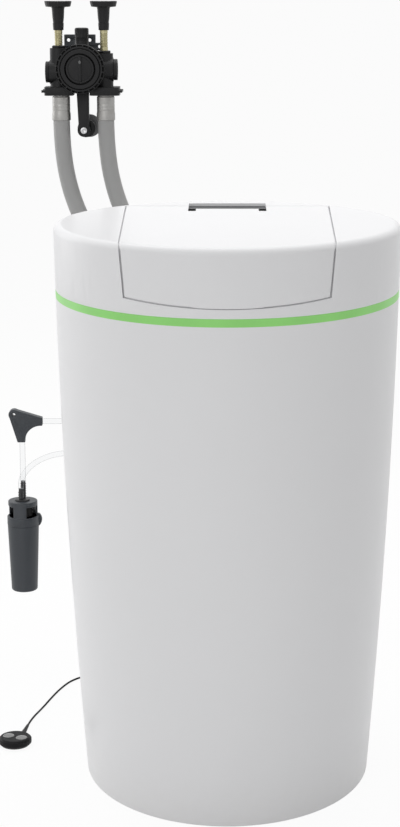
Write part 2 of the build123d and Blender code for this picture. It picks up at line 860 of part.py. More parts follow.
# Valve end cap with the motor plate
pitch_radius = gear_module * pinion_teeth / 2
pinion_z = pitch_line + pitch_radius
end_cap = box(valve_right, cap_high, valve_front, valve_back, valve_low, valve_top)
motor_front = bottle_y + rod_radius + drive_gap + motor_plate_thickness
plate_front = motor_front - motor_plate_thickness
end_cap = end_cap + box(cap_high - wall, pinion_x + motor_radius + motor_plate_margin, plate_front,
                        motor_front, valve_low, pinion_z + motor_radius + motor_plate_margin)
end_cap = end_cap - bar_x(rod_radius + running_clearance, bottle_y, port_level, valve_right, cap_high)
end_cap = end_cap - bar_y(motor_shaft_radius + seat_clearance, pinion_x, pinion_z, plate_front, motor_front)
parts["valve_end_cap"] = end_cap

# Drive motor and pinion
motor = bar_y(motor_radius, pinion_x, pinion_z, motor_front, motor_front + motor_length)
motor = motor + bar_y(motor_shaft_radius, pinion_x, pinion_z, bottle_y - rod_radius, motor_front)
parts["drive_motor"] = motor
root_radius = pitch_radius - gear_below_share * gear_module
pinion = bar_y(root_radius, pinion_x, pinion_z, bottle_y - rod_radius, bottle_y + rod_radius)
for index in range(pinion_teeth):
    half_root = tooth_root_share * tooth_pitch
    half_tip = tooth_tip_share * tooth_pitch
    outline = Polyline((-half_root, -root_radius + gear_slack), (-half_tip, -pitch_radius - gear_above_share * gear_module),
                       (half_tip, -pitch_radius - gear_above_share * gear_module), (half_root, -root_radius + gear_slack),
                       close=True)
    flank = extrude(Plane.XZ * make_face(outline), 2 * rod_radius)
    flank = Rot(0, 360 / pinion_teeth * index, 0) * flank
    pinion = pinion + Pos(pinion_x, bottle_y + rod_radius, pinion_z) * flank
pinion = pinion - bar_y(motor_shaft_radius + running_clearance, pinion_x, pinion_z,
                        bottle_y - rod_radius, bottle_y + rod_radius)
parts["drive_pinion"] = pinion

# Technical cover over the rear compartment, and the power unit below it
cover_high = tank_top + technical_cover_thickness
technical = form(wall + lid_gap, tank_top, cover_high) & box(
    -cabinet_width, cabinet_width, tank_back - tank_wall, cabinet_width, tank_top, cover_high)
parts["technical_cover"] = technical
power = box(power_left, power_right, power_front, power_back, tank_top - power_height, tank_top)
parts["power_unit"] = fillet(power.edges().filter_by(Axis.Z), motor_plate_margin)

# Rear service cover following the shell, with holes for elbows, drain and glands
service = (form(-cover_thickness, 0, cabinet_height) - form(0, 0, cabinet_height)) & box(
    cover_left, cover_right, 0, 2 * cabinet_back_depth, cover_low, cover_top)
through = 2 * cabinet_back_depth
for x in hose_axis_x:
    service = service - bar_y(elbow_radius + seat_clearance, x, port_level, 0, through)
service = service - bar_y(nipple_radius + seat_clearance, drain_x, drain_level, 0, through)
for x in (mains_gland_x, sensor_gland_x):
    service = service - bar_y(gland_radius + seat_clearance, x, gland_level, 0, through)
parts["rear_service_cover"] = service

# Cable glands for the mains lead and the sensor cord
glands = []
for x in (mains_gland_x, sensor_gland_x):
    nut_start = back_surface(abs(x) - gland_nut_radius, gland_level, -cover_thickness) + seat_clearance
    gland = bar_y(gland_radius, x, gland_level, gland_root - gland_radius, nut_start + gland_nut_length / 2)
    nut = Pos(x, nut_start + gland_nut_length / 2, gland_level) * Rot(90, 0, 0) * extrude(
        RegularPolygon(gland_nut_radius, 6), gland_nut_length / 2, both=True)
    tail = bar_y(gland_radius, x, gland_level, nut_start + gland_nut_length,
                 nut_start + gland_nut_length + gland_radius, gland_radius / 2)
    gland = gland + nut + tail
    if x == sensor_gland_x:
        gland = gland + bar_y(gland_radius / 2, x, gland_level, nut_start, gland_tail)
    else:
        gland = gland - bar_y(gland_bore, x, gland_level, gland_root - gland_radius, through)
    glands.append(gland)
parts["cable_glands"] = Compound(children=glands)

# Drain nipple and overflow pipe
nipple = bar_y(nipple_radius, drain_x, drain_level, port_face, gland_tail)
flange_at = back_surface(abs(drain_x) - nipple_flange_radius, drain_level, -cover_thickness) + seat_clearance
nipple = nipple + bar_y(nipple_flange_radius, drain_x, drain_level, flange_at, flange_at + nipple_flange_thickness)
nipple = nipple - bar_y(nipple_bore, drain_x, drain_level, port_face, gland_tail)
parts["drain_nipple"] = nipple
overflow = bar_y(nipple_radius, overflow_x, overflow_z, tank_back, gland_tail)
overflow = overflow + bar_y(nipple_flange_radius, overflow_x, overflow_z, tank_back,
                            tank_back + nipple_flange_thickness)
flange_at = back_surface(overflow_x - nipple_flange_radius, overflow_z, 0) + seat_clearance
overflow = overflow + bar_y(nipple_flange_radius, overflow_x, overflow_z, flange_at,
                            flange_at + nipple_flange_thickness)
overflow = overflow - bar_y(nipple_bore, overflow_x, overflow_z, tank_back, gland_tail)
parts["overflow_pipe"] = overflow

# Hose elbows behind the cabinet
for name, x in zip(("inlet_elbow", "outlet_elbow"), hose_axis_x):
    turns = [(x, port_face, port_level), (x, elbow_y, port_level), (x, elbow_y, elbow_top)]
    elbow_path = FilletPolyline(*turns, radius=elbow_bend)
    elbow_start = Plane(origin=turns[0], z_dir=(0, 1, 0))
    elbow = sweep(elbow_start * Circle(elbow_radius), path=elbow_path)
    elbow = elbow - sweep(elbow_start * Circle(water_bore), path=elbow_path)
    parts[name] = elbow

# Ferrules at both ends of the two hoses
lower = []
upper = []
hose_low = inlet_route[-1][2]
hose_high = inlet_route[0][2]
for route in (inlet_route, outlet_route):
    end_x, end_y = route[-1][0], route[-1][1]
    lower.append(post(ferrule_radius, end_x, end_y, elbow_top, hose_low)
                 - post(hose_bore, end_x, end_y, elbow_top, hose_low))
    top_x, top_y = route[0][0], route[0][1]
    upper.append(post(upper_ferrule_radius, top_x, top_y, hose_high, flange_low)
                 - post(hose_bore, top_x, top_y, hose_high, flange_low))
parts["lower_ferrules"] = Compound(children=lower)
parts["upper_ferrules"] = Compound(children=upper)

# Grey hoses from the block to the cabinet
parts["inlet_hose"] = tube(inlet_route, hose_radius, hose_bore, label="inlet_hose")
parts["outlet_hose"] = tube(outlet_route, hose_radius, hose_bore, label="outlet_hose")

# Connection block body: bypass housing, two valve columns, ports, hose flanges
spindle_x = (block_x - spindle_pitch / 2, block_x + spindle_pitch / 2)
chamber_low = disc_low - shutoff_travel - chamber_slack
block = bar_y(block_radius, block_x, block_z, block_front, block_back - plate_thickness)
for x, top in zip(spindle_x, column_tops):
    block = block + post(column_radius, x, block_y, flange_low, top)
block = block + bar_x(run_radius, block_y, port_levels[0], port_shoulders[0], block_x)
block = block + bar_x(run_radius, block_y, port_levels[1], block_x, port_shoulders[1])
block = block + bar_x(port_radius, block_y, port_levels[0], port_shoulders[0] - port_length, block_x)
block = block + bar_x(port_radius, block_y, port_levels[1], block_x, port_shoulders[1] + port_length)
for low_x, high_x in ((flange_left, block_x - flange_split), (block_x + flange_split, flange_right)):
    flange = box(low_x, high_x, block_y - flange_half_depth, block_y + flange_half_depth, flange_low, column_base)
    block = block + fillet(flange.edges().filter_by(Axis.Z), 2 * wall)
block = block - bar_y(plug_radius + running_clearance, block_x, block_z, block_front, plug_end + wall)
block = block - bar_x(port_bore, block_y, port_levels[0], port_shoulders[0] - port_length, spindle_x[0])
block = block - bar_x(port_bore, block_y, port_levels[1], spindle_x[1], port_shoulders[1] + port_length)
block = block - bar_x(plug_port, block_y, block_z, spindle_x[0], spindle_x[1])
for x, route in zip(spindle_x, (inlet_route, outlet_route)):
    block = block - post(chamber_radius, x, block_y, chamber_low, chamber_top)
    block = block - post(hose_bore - running_clearance, x, block_y, flange_low, chamber_low)
    block = block - post(spindle_radius + running_clearance, x, block_y, chamber_top, handle_top)
clip_z = (flange_low + column_base) / 2
clip_holes = []
clips = []
for x, side in ((flange_left, -1), (flange_right, 1)):
    clip_out = x + side * clip_reach
    clip_in = x - side * clip_offset
    for y in (block_y - clip_offset, block_y + clip_offset):
        clip_holes.append(bar_x(clip_radius, y, clip_z, min(clip_in, x), max(clip_in, x)))
        clips.append(bar_x(clip_radius, y, clip_z, min(clip_in, clip_out), max(clip_in, clip_out)))
    clip_bar = box(min(x, clip_out), max(x, clip_out), block_y - clip_offset, block_y + clip_offset,
                   clip_z - clip_radius / 2, clip_z + clip_radius / 2)
    clips.append(clip_bar)
block = block - clip_holes
block = block - post(cap_radius / 2, block_x, cap_y, block_z, cap_low + cap_radius)
block = block + (post(cap_radius, block_x, cap_y, block_z + plug_radius + wall, cap_low)
                 - bar_y(plug_radius + running_clearance, block_x, block_z, block_front, plug_end + wall))
parts["block_body"] = largest(block)
clip_group = [clips[0] + clips[1] + clips[2], clips[3] + clips[4] + clips[5]]
parts["flange_clips"] = Compound(children=clip_group)

# Top cap, wall plate with its eyelets
top_cap = post(cap_radius, block_x, cap_y, cap_low, cap_top)
top_cap = fillet(top_cap.edges().group_by(Axis.Z)[-1], cap_radius / 8)
parts["block_top_cap"] = top_cap
wall_plate = box(plate_left, plate_right, block_back - plate_thickness, block_back, plate_low, plate_top)
for x in plate_hole_x:
    wall_plate = wall_plate - bar_y(plate_hole_radius, x, plate_hole_z, 0, through)
for (x, z), column in zip(eyelet_places, (plate_left, plate_right)):
    lug = bar_y(eyelet_radius, x, z, block_back - plate_thickness, block_back)
    lug = lug + box(min(x, column), max(x, column), block_back - plate_thickness, block_back,
                    z - eyelet_radius, z + eyelet_radius)
    wall_plate = wall_plate + lug
    wall_plate = wall_plate - bar_y(eyelet_hole, x, z, 0, through)
parts["block_wall_plate"] = wall_plate

# Face ring with its castellated collar
face = bar_y(face_outer, block_x, block_z, face_front + face_step_depth, block_front)
face = face + bar_y(face_middle, block_x, block_z, face_front, block_front)
face = face - bar_y(face_inner, block_x, block_z, face_front, block_front)
face_cuts = []
for index in range(face_slots):
    turn = 360 / face_slots * index
    face_cuts.append(Pos(block_x, 0, block_z) * Rot(0, turn, 0) * box(
        face_step, face_outer + wall, face_front, face_front + 2 * face_step_depth,
        -face_slot_width / 2, face_slot_width / 2))
parts["block_face_ring"] = face - face_cuts

# Bypass dial with its ridge and plug
dial_front = face_front + seat_clearance
dial = bar_y(dial_radius, block_x, block_z, dial_front, block_front - seat_clearance)
ridge_half = dial_ridge_share * dial_radius
dial = dial + box(block_x - dial_ridge_width / 2, block_x + dial_ridge_width / 2,
                  dial_front - dial_ridge_height, dial_front, block_z - ridge_half, block_z + ridge_half)
dial = dial + bar_y(plug_radius, block_x, block_z, block_front - seat_clearance, plug_end)
dial = dial - bar_x(plug_port, block_y, block_z, block_x - 2 * plug_radius, block_x + 2 * plug_radius)
parts["bypass_dial"] = dial

# Shut-off discs, spindles and handles
for name, x in zip(("inlet", "outlet"), spindle_x):
    disc = post(disc_radius, x, block_y, disc_low, disc_low + disc_height)
    neck_low = spindle_low - spindle_neck_length
    socket_top = disc_low + disc_height
    disc = disc - post(spindle_neck_radius + running_clearance, x, block_y, neck_low, socket_top)
    disc = disc - post(spindle_head_radius + running_clearance, x, block_y, neck_low - spindle_head_length,
                       neck_low + running_clearance)
    disc = disc - post(spindle_radius + running_clearance, x, block_y, spindle_low, socket_top)
    parts[name + "_valve_disc"] = disc
    spindle = post(spindle_radius, x, block_y, spindle_low, sleeve_low + handle_socket)
    spindle = spindle + post(spindle_neck_radius, x, block_y, neck_low, spindle_low)
    spindle = spindle + post(spindle_head_radius, x, block_y,
                             neck_low - spindle_head_length + running_clearance, neck_low)
    parts[name + "_spindle"] = spindle
    flange_base = handle_top - handle_flange
    handle = post(handle_radius - handle_taper, x, block_y, flange_base, handle_top, handle_radius)
    handle = handle + post(sleeve_low_radius, x, block_y, sleeve_low, flange_base, sleeve_top_radius)
    handle = handle - post(handle_inlay_radius, x, block_y, handle_top - handle_inlay_depth, handle_top)
    handle = handle - post(spindle_radius, x, block_y, sleeve_low, sleeve_low + handle_socket)
    parts[name + "_handle"] = handle

# Support arm with its claw, screw and wall foot
arm_back = arm_front + arm_thickness
arm_top = flange_low + 2 * clip_offset / 3
arm = Plane.XZ * make_face(Polyline(
    (arm_x - arm_half_width, arm_top), (arm_x + arm_half_width, arm_top),
    (arm_end_x + arm_end_radius - clip_radius, arm_end_z), (arm_end_x - arm_end_radius + clip_radius, arm_end_z),
    close=True))
arm = Pos(0, arm_back, 0) * extrude(arm, arm_thickness)
arm = arm + bar_y(arm_end_radius, arm_end_x, arm_end_z, arm_front, arm_back)
foot_front = block_back - foot_thickness
arm = arm + bar_y(foot_claw_radius, (foot_x + arm_end_x) / 2, (foot_z + arm_end_z) / 2, arm_back, foot_front)
arm = arm - bar_y(block_radius, block_x, block_z, 0, through)
arm = arm - bar_y(arm_screw_shank, arm_end_x, arm_end_z, arm_front, foot_front)
parts["support_arm"] = largest(arm)
screw = bar_y(arm_screw_radius, arm_end_x, arm_end_z, arm_front - arm_screw_height, arm_front)
screw = screw + bar_y(arm_screw_shank, arm_end_x, arm_end_z, arm_front, foot_front)
socket = Pos(arm_end_x, arm_front - arm_screw_height, arm_end_z) * Rot(90, 0, 0) * extrude(
    RegularPolygon(arm_screw_radius / 2, 6), arm_screw_height / 2, both=True)
parts["support_arm_screw"] = screw - socket
parts["wall_foot"] = bar_y(foot_radius, foot_x, foot_z, foot_front, block_back)

# Hose bracket: a plate with a curved channel that turns the drain hose downwards
apex_x, apex_z = bracket_apex
corner_x = drain_route[5][0]
corner_z = drain_route[5][2]
outline = Polyline(
    (apex_x - bracket_apex_radius, apex_z), (apex_x, apex_z + bracket_apex_radius),
    (bracket_right, bracket_right_top), (bracket_right, bracket_right_low),
    (bracket_bottom_right, bracket_right_low), (bracket_bottom_right, bracket_bottom),
    (bracket_bottom_left, bracket_bottom), close=True)
bracket = make_face(outline)
bracket = bracket + Pos(apex_x, apex_z) * Circle(bracket_apex_radius)
inner_center = (bracket_bottom_right + bracket_inner_radius, bracket_right_low - bracket_inner_radius)
fill = Polyline((bracket_bottom_right, bracket_right_low), (inner_center[0], bracket_right_low),
                (bracket_bottom_right, inner_center[1]), close=True)
bracket = bracket + (make_face(fill) - Pos(*inner_center) * Circle(bracket_inner_radius))
bracket = Pos(0, bracket_y + bracket_depth / 2, 0) * extrude(Plane.XZ * bracket, bracket_depth)
channel_points = [(corner_x + cabinet_width / 5, bracket_y, corner_z), (corner_x, bracket_y, corner_z),
                  (corner_x, bracket_y, bracket_bottom - bracket_depth)]
channel_path = FilletPolyline(*channel_points, radius=bracket_bend)
channel_start = Plane(origin=channel_points[0], z_dir=(-1, 0, 0))
bracket = bracket - sweep(channel_start * Circle(clear_hose_radius + seat_clearance), path=channel_path)
bracket = bracket - bar_y(bracket_hole_radius, apex_x, apex_z, 0, through)
parts["hose_bracket"] = largest(bracket)

# Clear hoses: drain through the bracket, overflow over to the adaptor
parts["drain_hose"] = tube(drain_route, clear_hose_radius, clear_hose_bore, {5: bracket_bend}, "drain_hose")
parts["overflow_hose"] = tube(overflow_route, clear_hose_radius, clear_hose_bore, label="overflow_hose")

# Drain adaptor head with its air gap windows
head = post(drain_disc_radius, drain_axis_x, drain_axis_y, drain_window_low, drain_disc_top)
head = head + post(drain_head_radius, drain_axis_x, drain_axis_y, drain_head_low, drain_window_low)
head_bore = drain_disc_radius - drain_wall
head = head - post(head_bore, drain_axis_x, drain_axis_y, drain_head_low, drain_disc_low)
for index in range(drain_posts):
    start_deg = drain_post_first_deg + drain_post_half_deg + 360 / drain_posts * index
    sweep_deg = 360 / drain_posts - 2 * drain_post_half_deg
    reach = 2 * drain_disc_radius
    first = math.radians(start_deg)
    last = math.radians(start_deg + sweep_deg)
    wedge = Polyline((0, 0), (reach * math.cos(first), reach * math.sin(first)),
                     (reach * math.cos(last), reach * math.sin(last)), close=True)
    window = extrude(make_face(wedge), drain_disc_low - drain_window_low)
    head = head - Pos(drain_axis_x, drain_axis_y, drain_window_low) * window
ear = bar_y(drain_ear_radius, drain_ear_x, drain_ear_z, drain_axis_y, drain_axis_y + drain_ear_thickness)
ear_low = drain_ear_z - drain_ear_radius
ear = ear & box(-cabinet_width, 0, drain_axis_y, drain_axis_y + drain_ear_thickness, ear_low,
                drain_window_low + drain_wall)
ear = ear - post(drain_top_radius, drain_axis_x, drain_axis_y, ear_low, drain_head_low)
head = head + (ear - post(head_bore, drain_axis_x, drain_axis_y, drain_head_low, drain_disc_low))
barb_holes = [post(barb_radius, x, y, drain_disc_low, drain_disc_top) for x, y, z in barb_places]
head = head - barb_holes
parts["drain_head"] = head

# Twin barbs
barb_middle = (barb_places[0][0] + barb_places[1][0]) / 2
barbs = post(barb_base_radius, barb_middle, drain_axis_y, drain_disc_top, drain_disc_top + barb_base_height)
for x, y, z in barb_places:
    barbs = barbs + post(barb_radius, x, y, drain_disc_low - barb_tail, z)
for x, y, z in barb_places:
    barbs = barbs - post(barb_bore, x, y, drain_disc_low - barb_tail, z)
parts["drain_barbs"] = barbs

# Drain tube, tapered to fit into a waste pipe
tube_body = post(drain_bottom_radius, drain_axis_x, drain_axis_y, drain_tube_low, drain_head_low, drain_top_radius)
tube_body = fillet(tube_body.edges().group_by(Axis.Z)[0], drain_foot_radius / 2)
tube_body = tube_body - post(drain_bottom_radius - drain_wall, drain_axis_x, drain_axis_y, drain_tube_low,
                             drain_head_low, drain_top_radius - drain_wall)
parts["drain_tube"] = tube_body

# Floor water sensor with its contacts
sensor = post(sensor_radius, sensor_x, sensor_y, 0, sensor_height)
sensor = chamfer(sensor.edges().group_by(Axis.Z)[-1], sensor_chamfer)
sensor = chamfer(sensor.edges().group_by(Axis.Z)[0], sensor_foot_chamfer)
relief_tip = floor_route[0]
relief_run = Vector(relief_tip[0] - relief_root[0], relief_tip[1] - relief_root[1], 0)
relief_plane = Plane(origin=(relief_root[0], relief_root[1], relief_root_radius), z_dir=relief_run)
relief_length = relief_run.length
relief = relief_plane * Pos(0, 0, relief_length / 2) * Cone(relief_root_radius, relief_tip_radius, relief_length)
sensor = sensor + relief
for x, y in contact_places:
    sensor = sensor - post(contact_radius, x, y, sensor_height - contact_sink, sensor_height)
parts["sensor_body"] = sensor
contacts = [post(contact_radius, x, y, sensor_height - contact_sink, sensor_height - contact_sink + contact_height)
            for x, y in contact_places]
parts["sensor_contacts"] = Compound(children=contacts)

# Sensor cord: floor stretch, coil of the spare length, and the rise to the gland
parts["sensor_cord"] = tube(floor_route, cord_radius, label="sensor_cord")
parts["sensor_cord_riser"] = tube(riser_route, cord_radius, label="sensor_cord_riser")


def biarc(start, start_way, end, end_way):
    """Two tangent arcs between two points with given directions."""
    span = end - start
    ways = start_way.dot(end_way)
    across = span.dot(start_way + end_way)
    square = 2 * (1 - ways)
    reach = (math.sqrt(across * across + square * span.dot(span)) - across) / square
    middle = (start + end + (start_way - end_way) * reach) * 0.5
    middle_way = (end - middle - end_way * reach).normalized()
    return [TangentArc(start, middle, tangent=start_way), TangentArc(middle, end, tangent=middle_way)]


coil_start_z = cord_radius + cord_lift
half_turns = 2 * coil_turns_in + 1 + coil_half_turns_out
stations = []
for index in range(half_turns + 1):
    angle = math.pi / 2 - math.pi * index
    if index <= 2 * coil_turns_in:
        radius = coil_outer_radius - coil_pitch * index / 2
        level = coil_start_z
    else:
        radius = coil_outer_radius - coil_pitch * coil_turns_in
        radius = radius + coil_pitch * (index - 2 * coil_turns_in - 1) / 2
        level = coil_start_z + coil_layer_step
    place = Vector(coil_x + radius * math.cos(angle), coil_y + radius * math.sin(angle), level)
    stations.append((place, Vector(math.sin(angle), -math.cos(angle), 0)))
first_place, first_way = stations[0]
last_place, last_way = stations[-1]
coil_lines = [Line(first_place - first_way * 2 * cord_radius, first_place)]
for (place, way), (next_place, next_way) in zip(stations, stations[1:]):
    coil_lines.extend(biarc(place, way, next_place, next_way))
coil_lines.append(Line(last_place, last_place + last_way * 2 * cord_radius))
coil_path = Wire(coil_lines)
coil_begin = Plane(origin=first_place - first_way * 2 * cord_radius, z_dir=first_way)
coil = sweep(coil_begin * Circle(cord_radius), path=coil_path)
parts["sensor_cord_coil"] = coil
samples = int(coil_path.length / cord_radius)
dots = [coil_path @ (index / samples) for index in range(samples + 1)]
apart = int(math.pi * (coil_outer_radius - coil_pitch * coil_turns_in) / cord_radius)
gap = min((dots[a] - dots[b]).length for a in range(len(dots)) for b in range(a + apart, len(dots)))
print("coil length", round(coil_path.length, 1), "start", coil_path @ 0, "end", coil_path @ 1,
      "least gap", round(gap - 2 * cord_radius, 2),
      "volume share", round(coil.volume / (math.pi * cord_radius ** 2 * coil_path.length), 4))

for name, shape in parts.items():
    export_step(shape, os.path.join("parts", name + ".step"))
print(len(parts), "nodes")
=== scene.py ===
"""A water softener dressed for the studio: cabinet, connection block, hoses, drain adaptor, floor sensor.

The frame brings the construction. This file adds its finishes, and the turned, moulded and crimped
pieces whose edges and grooves the frame leaves plain. The pieces' sizes, profiles and routes are in
millimetres, and the studio and the finishes in metres.
"""

import json
import logging
import math
from dataclasses import dataclass, field
from enum import Enum
from typing import Optional, Sequence, Union

import bpy
from mathutils import Matrix, Vector
from mathutils.bvhtree import BVHTree

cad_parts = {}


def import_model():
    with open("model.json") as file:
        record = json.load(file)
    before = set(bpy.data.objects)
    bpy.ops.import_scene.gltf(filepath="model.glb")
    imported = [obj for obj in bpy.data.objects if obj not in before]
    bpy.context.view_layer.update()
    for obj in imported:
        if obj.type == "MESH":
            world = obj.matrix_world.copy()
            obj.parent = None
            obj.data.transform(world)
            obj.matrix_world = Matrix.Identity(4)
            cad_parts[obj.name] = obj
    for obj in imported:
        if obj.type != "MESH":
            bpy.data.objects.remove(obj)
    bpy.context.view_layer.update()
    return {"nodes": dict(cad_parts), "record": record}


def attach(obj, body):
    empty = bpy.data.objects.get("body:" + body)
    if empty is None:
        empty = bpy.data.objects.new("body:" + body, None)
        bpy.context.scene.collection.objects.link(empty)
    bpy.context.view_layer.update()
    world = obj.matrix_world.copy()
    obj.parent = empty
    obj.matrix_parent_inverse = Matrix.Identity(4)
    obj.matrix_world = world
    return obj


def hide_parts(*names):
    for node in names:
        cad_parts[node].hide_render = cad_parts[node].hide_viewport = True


Material = bpy.types.Material
Thing = bpy.types.Object
Point = tuple[float, float, float]
Pair = tuple[float, float]
Colour = tuple[float, float, float]
Profile = Sequence[Pair]
log = logging.getLogger("softener")
MM = 0.001
TURN = 2 * math.pi
WHITE = (1.0, 1.0, 1.0)
ORIGIN = (0.0, 0.0, 0.0)


class Way(Enum):
    """The direction in which a turned piece points."""

    UP = (0.0, 0.0, 1.0)
    DOWN = (0.0, 0.0, -1.0)
    FRONT = (0.0, -1.0, 0.0)
    LEFT = (-1.0, 0.0, 0.0)
    RIGHT = (1.0, 0.0, 0.0)


class Stiffness(Enum):
    """How hard a line is to bend."""

    MEDIUM = "medium"
    STIFF = "stiff"


class Lay(Enum):
    """How a line lies."""

    LOOSE = "loose"
    COILED = "coiled"


def metres(lengths: Sequence[float]) -> tuple[float, ...]:
    """Lengths in metres from millimetres."""
    return tuple(round(length * MM, 8) for length in lengths)


# Shader wiring


class Wire:
    """A shader socket that takes part in arithmetic."""

    def __init__(self, net: "Net", socket: bpy.types.NodeSocket) -> None:
        """Wraps a socket of a node net."""
        self.net = net
        self.socket = socket

    def _math(self, operation: str, *values: "Value") -> "Wire":
        """The result of a new Math node."""
        return self.net.node("ShaderNodeMath", {"operation": operation}, dict(enumerate(values)))

    def __add__(self, other: "Value") -> "Wire":
        """Sum."""
        return self._math("ADD", self, other)

    __radd__ = __add__

    def __sub__(self, other: "Value") -> "Wire":
        """Difference."""
        return self._math("SUBTRACT", self, other)

    def __rsub__(self, other: "Value") -> "Wire":
        """Reflected difference, such as 1 - mask."""
        return self._math("SUBTRACT", other, self)

    def __mul__(self, other: "Value") -> "Wire":
        """Product."""
        return self._math("MULTIPLY", self, other)

    def sine(self) -> "Wire":
        """Sine of the value."""
        return self._math("SINE", self)

    def maximum(self, other: "Value") -> "Wire":
        """The larger of two values."""
        return self._math("MAXIMUM", self, other)

    def over(self, edge: float, soft: float) -> "Wire":
        """A mask that rises from 0 to 1 from one soft width below an edge to one above it."""
        sockets = {"Value": self, "From Min": edge - soft, "From Max": edge + soft}
        return self.net.node("ShaderNodeMapRange", {"interpolation_type": "SMOOTHSTEP"}, sockets)


Value = Union[Wire, float, int, Sequence[float]]


class Net:
    """The node net of a material or of the world."""

    mix_share, mix_low, mix_high, mix_colour = 0, 6, 7, 2

    def __init__(self, owner: Union[Material, bpy.types.World],
                 output: str = "ShaderNodeOutputMaterial") -> None:
        """Empties the net but for a new output.

        Args:
            owner: The material or the world.
            output: The kind of its output node.
        """
        owner.use_nodes = True
        self.owner = owner
        self.tree = owner.node_tree
        self.tree.nodes.clear()
        self.output = self.tree.nodes.new(output)

    def node(self, kind: str, settings: dict[str, object], sockets: dict[Union[str, int], Value],
             out: Union[str, int] = 0) -> Wire:
        """Adds a node.

        Args:
            kind: The node's type.
            settings: Its own settings, set before its sockets.
            sockets: Values or links of its input sockets.
            out: The output socket to return.

        Returns:
            The output socket, wrapped.
        """
        made = self.tree.nodes.new(kind)
        for key, value in settings.items():
            setattr(made, key, value)
        for key, value in sockets.items():
            self.plug(made.inputs[key], value)
        return Wire(self, made.outputs[out])

    def plug(self, socket: bpy.types.NodeSocket, value: Value) -> None:
        """Sets or links an input socket.

        Args:
            socket: The input.
            value: A number, a colour, a vector or a wire.
        """
        if isinstance(value, Wire):
            self.tree.links.new(value.socket, socket)
        elif isinstance(value, (int, float)):
            socket.default_value = value
        else:
            socket.default_value = [*value, 1.0] if socket.type == "RGBA" else value

    def place(self, scale: Point = WHITE, centre: Point = ORIGIN) -> Wire:
        """Object coordinates from a centre, stretched along each axis.

        Args:
            scale: The stretch of each axis.
            centre: The point that becomes the pattern's origin.

        Returns:
            The coordinates.
        """
        sides = {0: self.node("ShaderNodeTexCoord", {}, {}, "Object"), 1: centre}
        moved = self.node("ShaderNodeVectorMath", {"operation": "SUBTRACT"}, sides)
        return self.node("ShaderNodeVectorMath", {"operation": "MULTIPLY"}, {0: moved, 1: scale})

    def axis(self, coordinates: Wire, letter: str) -> Wire:
        """One axis of some coordinates."""
        return self.node("ShaderNodeSeparateXYZ", {}, {0: coordinates}, letter)

    def turn(self, coordinates: Wire) -> Wire:
        """The angle of some coordinates round Z."""
        sides = {0: self.axis(coordinates, "Y"), 1: self.axis(coordinates, "X")}
        return self.node("ShaderNodeMath", {"operation": "ARCTAN2"}, sides)

    def noise(self, coordinates: Wire, scale: float, detail: float = 3.0, rough: float = 0.5) -> Wire:
        """Noise around one half: its spots for each metre, its octaves and how strong the small ones are."""
        sockets = {"Vector": coordinates, "Scale": scale, "Detail": detail, "Roughness": rough}
        return self.node("ShaderNodeTexNoise", {}, sockets)

    def blend(self, share: Value, low: Value, high: Value) -> Wire:
        """The low colour where the share is 0 and the high one where it is 1."""
        sockets = {self.mix_share: share, self.mix_low: low, self.mix_high: high}
        return self.node("ShaderNodeMix", {"data_type": "RGBA"}, sockets, self.mix_colour)

    def relief(self, height: Wire, distance: float, strength: float) -> Wire:
        """A bump from a height."""
        sockets = {"Height": height, "Distance": distance, "Strength": strength}
        return self.node("ShaderNodeBump", {}, sockets)

    def shader(self, **sockets: Value) -> Wire:
        """The surface shader, its sockets given with underscores for spaces."""
        named = {key.replace("_", " "): value for key, value in sockets.items()}
        return self.node("ShaderNodeBsdfPrincipled", {}, named)

    def seen(self) -> Wire:
        """A mask of the rays that the camera sees: straight, in gloss or through clear pieces.

        Returns:
            1 for such a ray and 0 for any other.
        """
        straight, gloss, through = (
            self.node("ShaderNodeLightPath", {}, {}, kind)
            for kind in ("Is Camera Ray", "Is Glossy Ray", "Is Transmission Ray"))
        return straight.maximum(gloss).maximum(through)

    def finish(self, surface: Wire) -> None:
        """Joins the surface to the output."""
        self.plug(self.output.inputs["Surface"], surface)


# Finishes


@dataclass(frozen=True)
class Finish:
    """A finish, with its colour in linear light."""

    name: str
    colour: Colour

    def surface(self, net: Net, spot: Wire) -> Wire:
        """The shader in a net, over object coordinates."""
        raise NotImplementedError

    def material(self) -> Material:
        """Builds the material.

        Returns:
            The material.
        """
        net = Net(bpy.data.materials.new(self.name))
        net.finish(self.surface(net, net.place()))
        return net.owner

    def tone(self, factor: float) -> Colour:
        """The colour, darker or lighter."""
        return tuple(min(1.0, part * factor) for part in self.colour)


@dataclass(frozen=True)
class Moulded(Finish):
    """Injection moulded plastic with a fine grain, slight clouding and rubbed places."""

    rough: float = 0.42
    grain: float = 2600.0
    depth: float = 0.00003
    clouding: float = 0.06
    shine: float = 0.5
    clouds: float = 9.0
    flecks: float = 420.0
    smears: float = 30.0

    def surface(self, net: Net, spot: Wire) -> Wire:
        """Wires the shader.

        Args:
            net: The material's net.
            spot: Object coordinates.

        Returns:
            The shader.
        """
        cloud = net.noise(spot, self.clouds, 4.0)
        fleck = net.noise(spot, self.flecks, 2.0).over(0.62, 0.12) * 0.35
        tint = net.blend(cloud, self.tone(1 - self.clouding), self.tone(1 + self.clouding))
        tint = net.blend(fleck, tint, self.tone(1 + 2.5 * self.clouding))
        smear = net.noise(net.place((1.0, 1.0, 0.25)), self.smears)
        grain = net.node("ShaderNodeTexVoronoi", {}, {"Vector": spot, "Scale": self.grain})
        return net.shader(
            Base_Color=tint, Roughness=self.rough + (smear - 0.5) * 0.18,
            Normal=net.relief(grain, self.depth, 0.6), Specular_IOR_Level=self.shine)


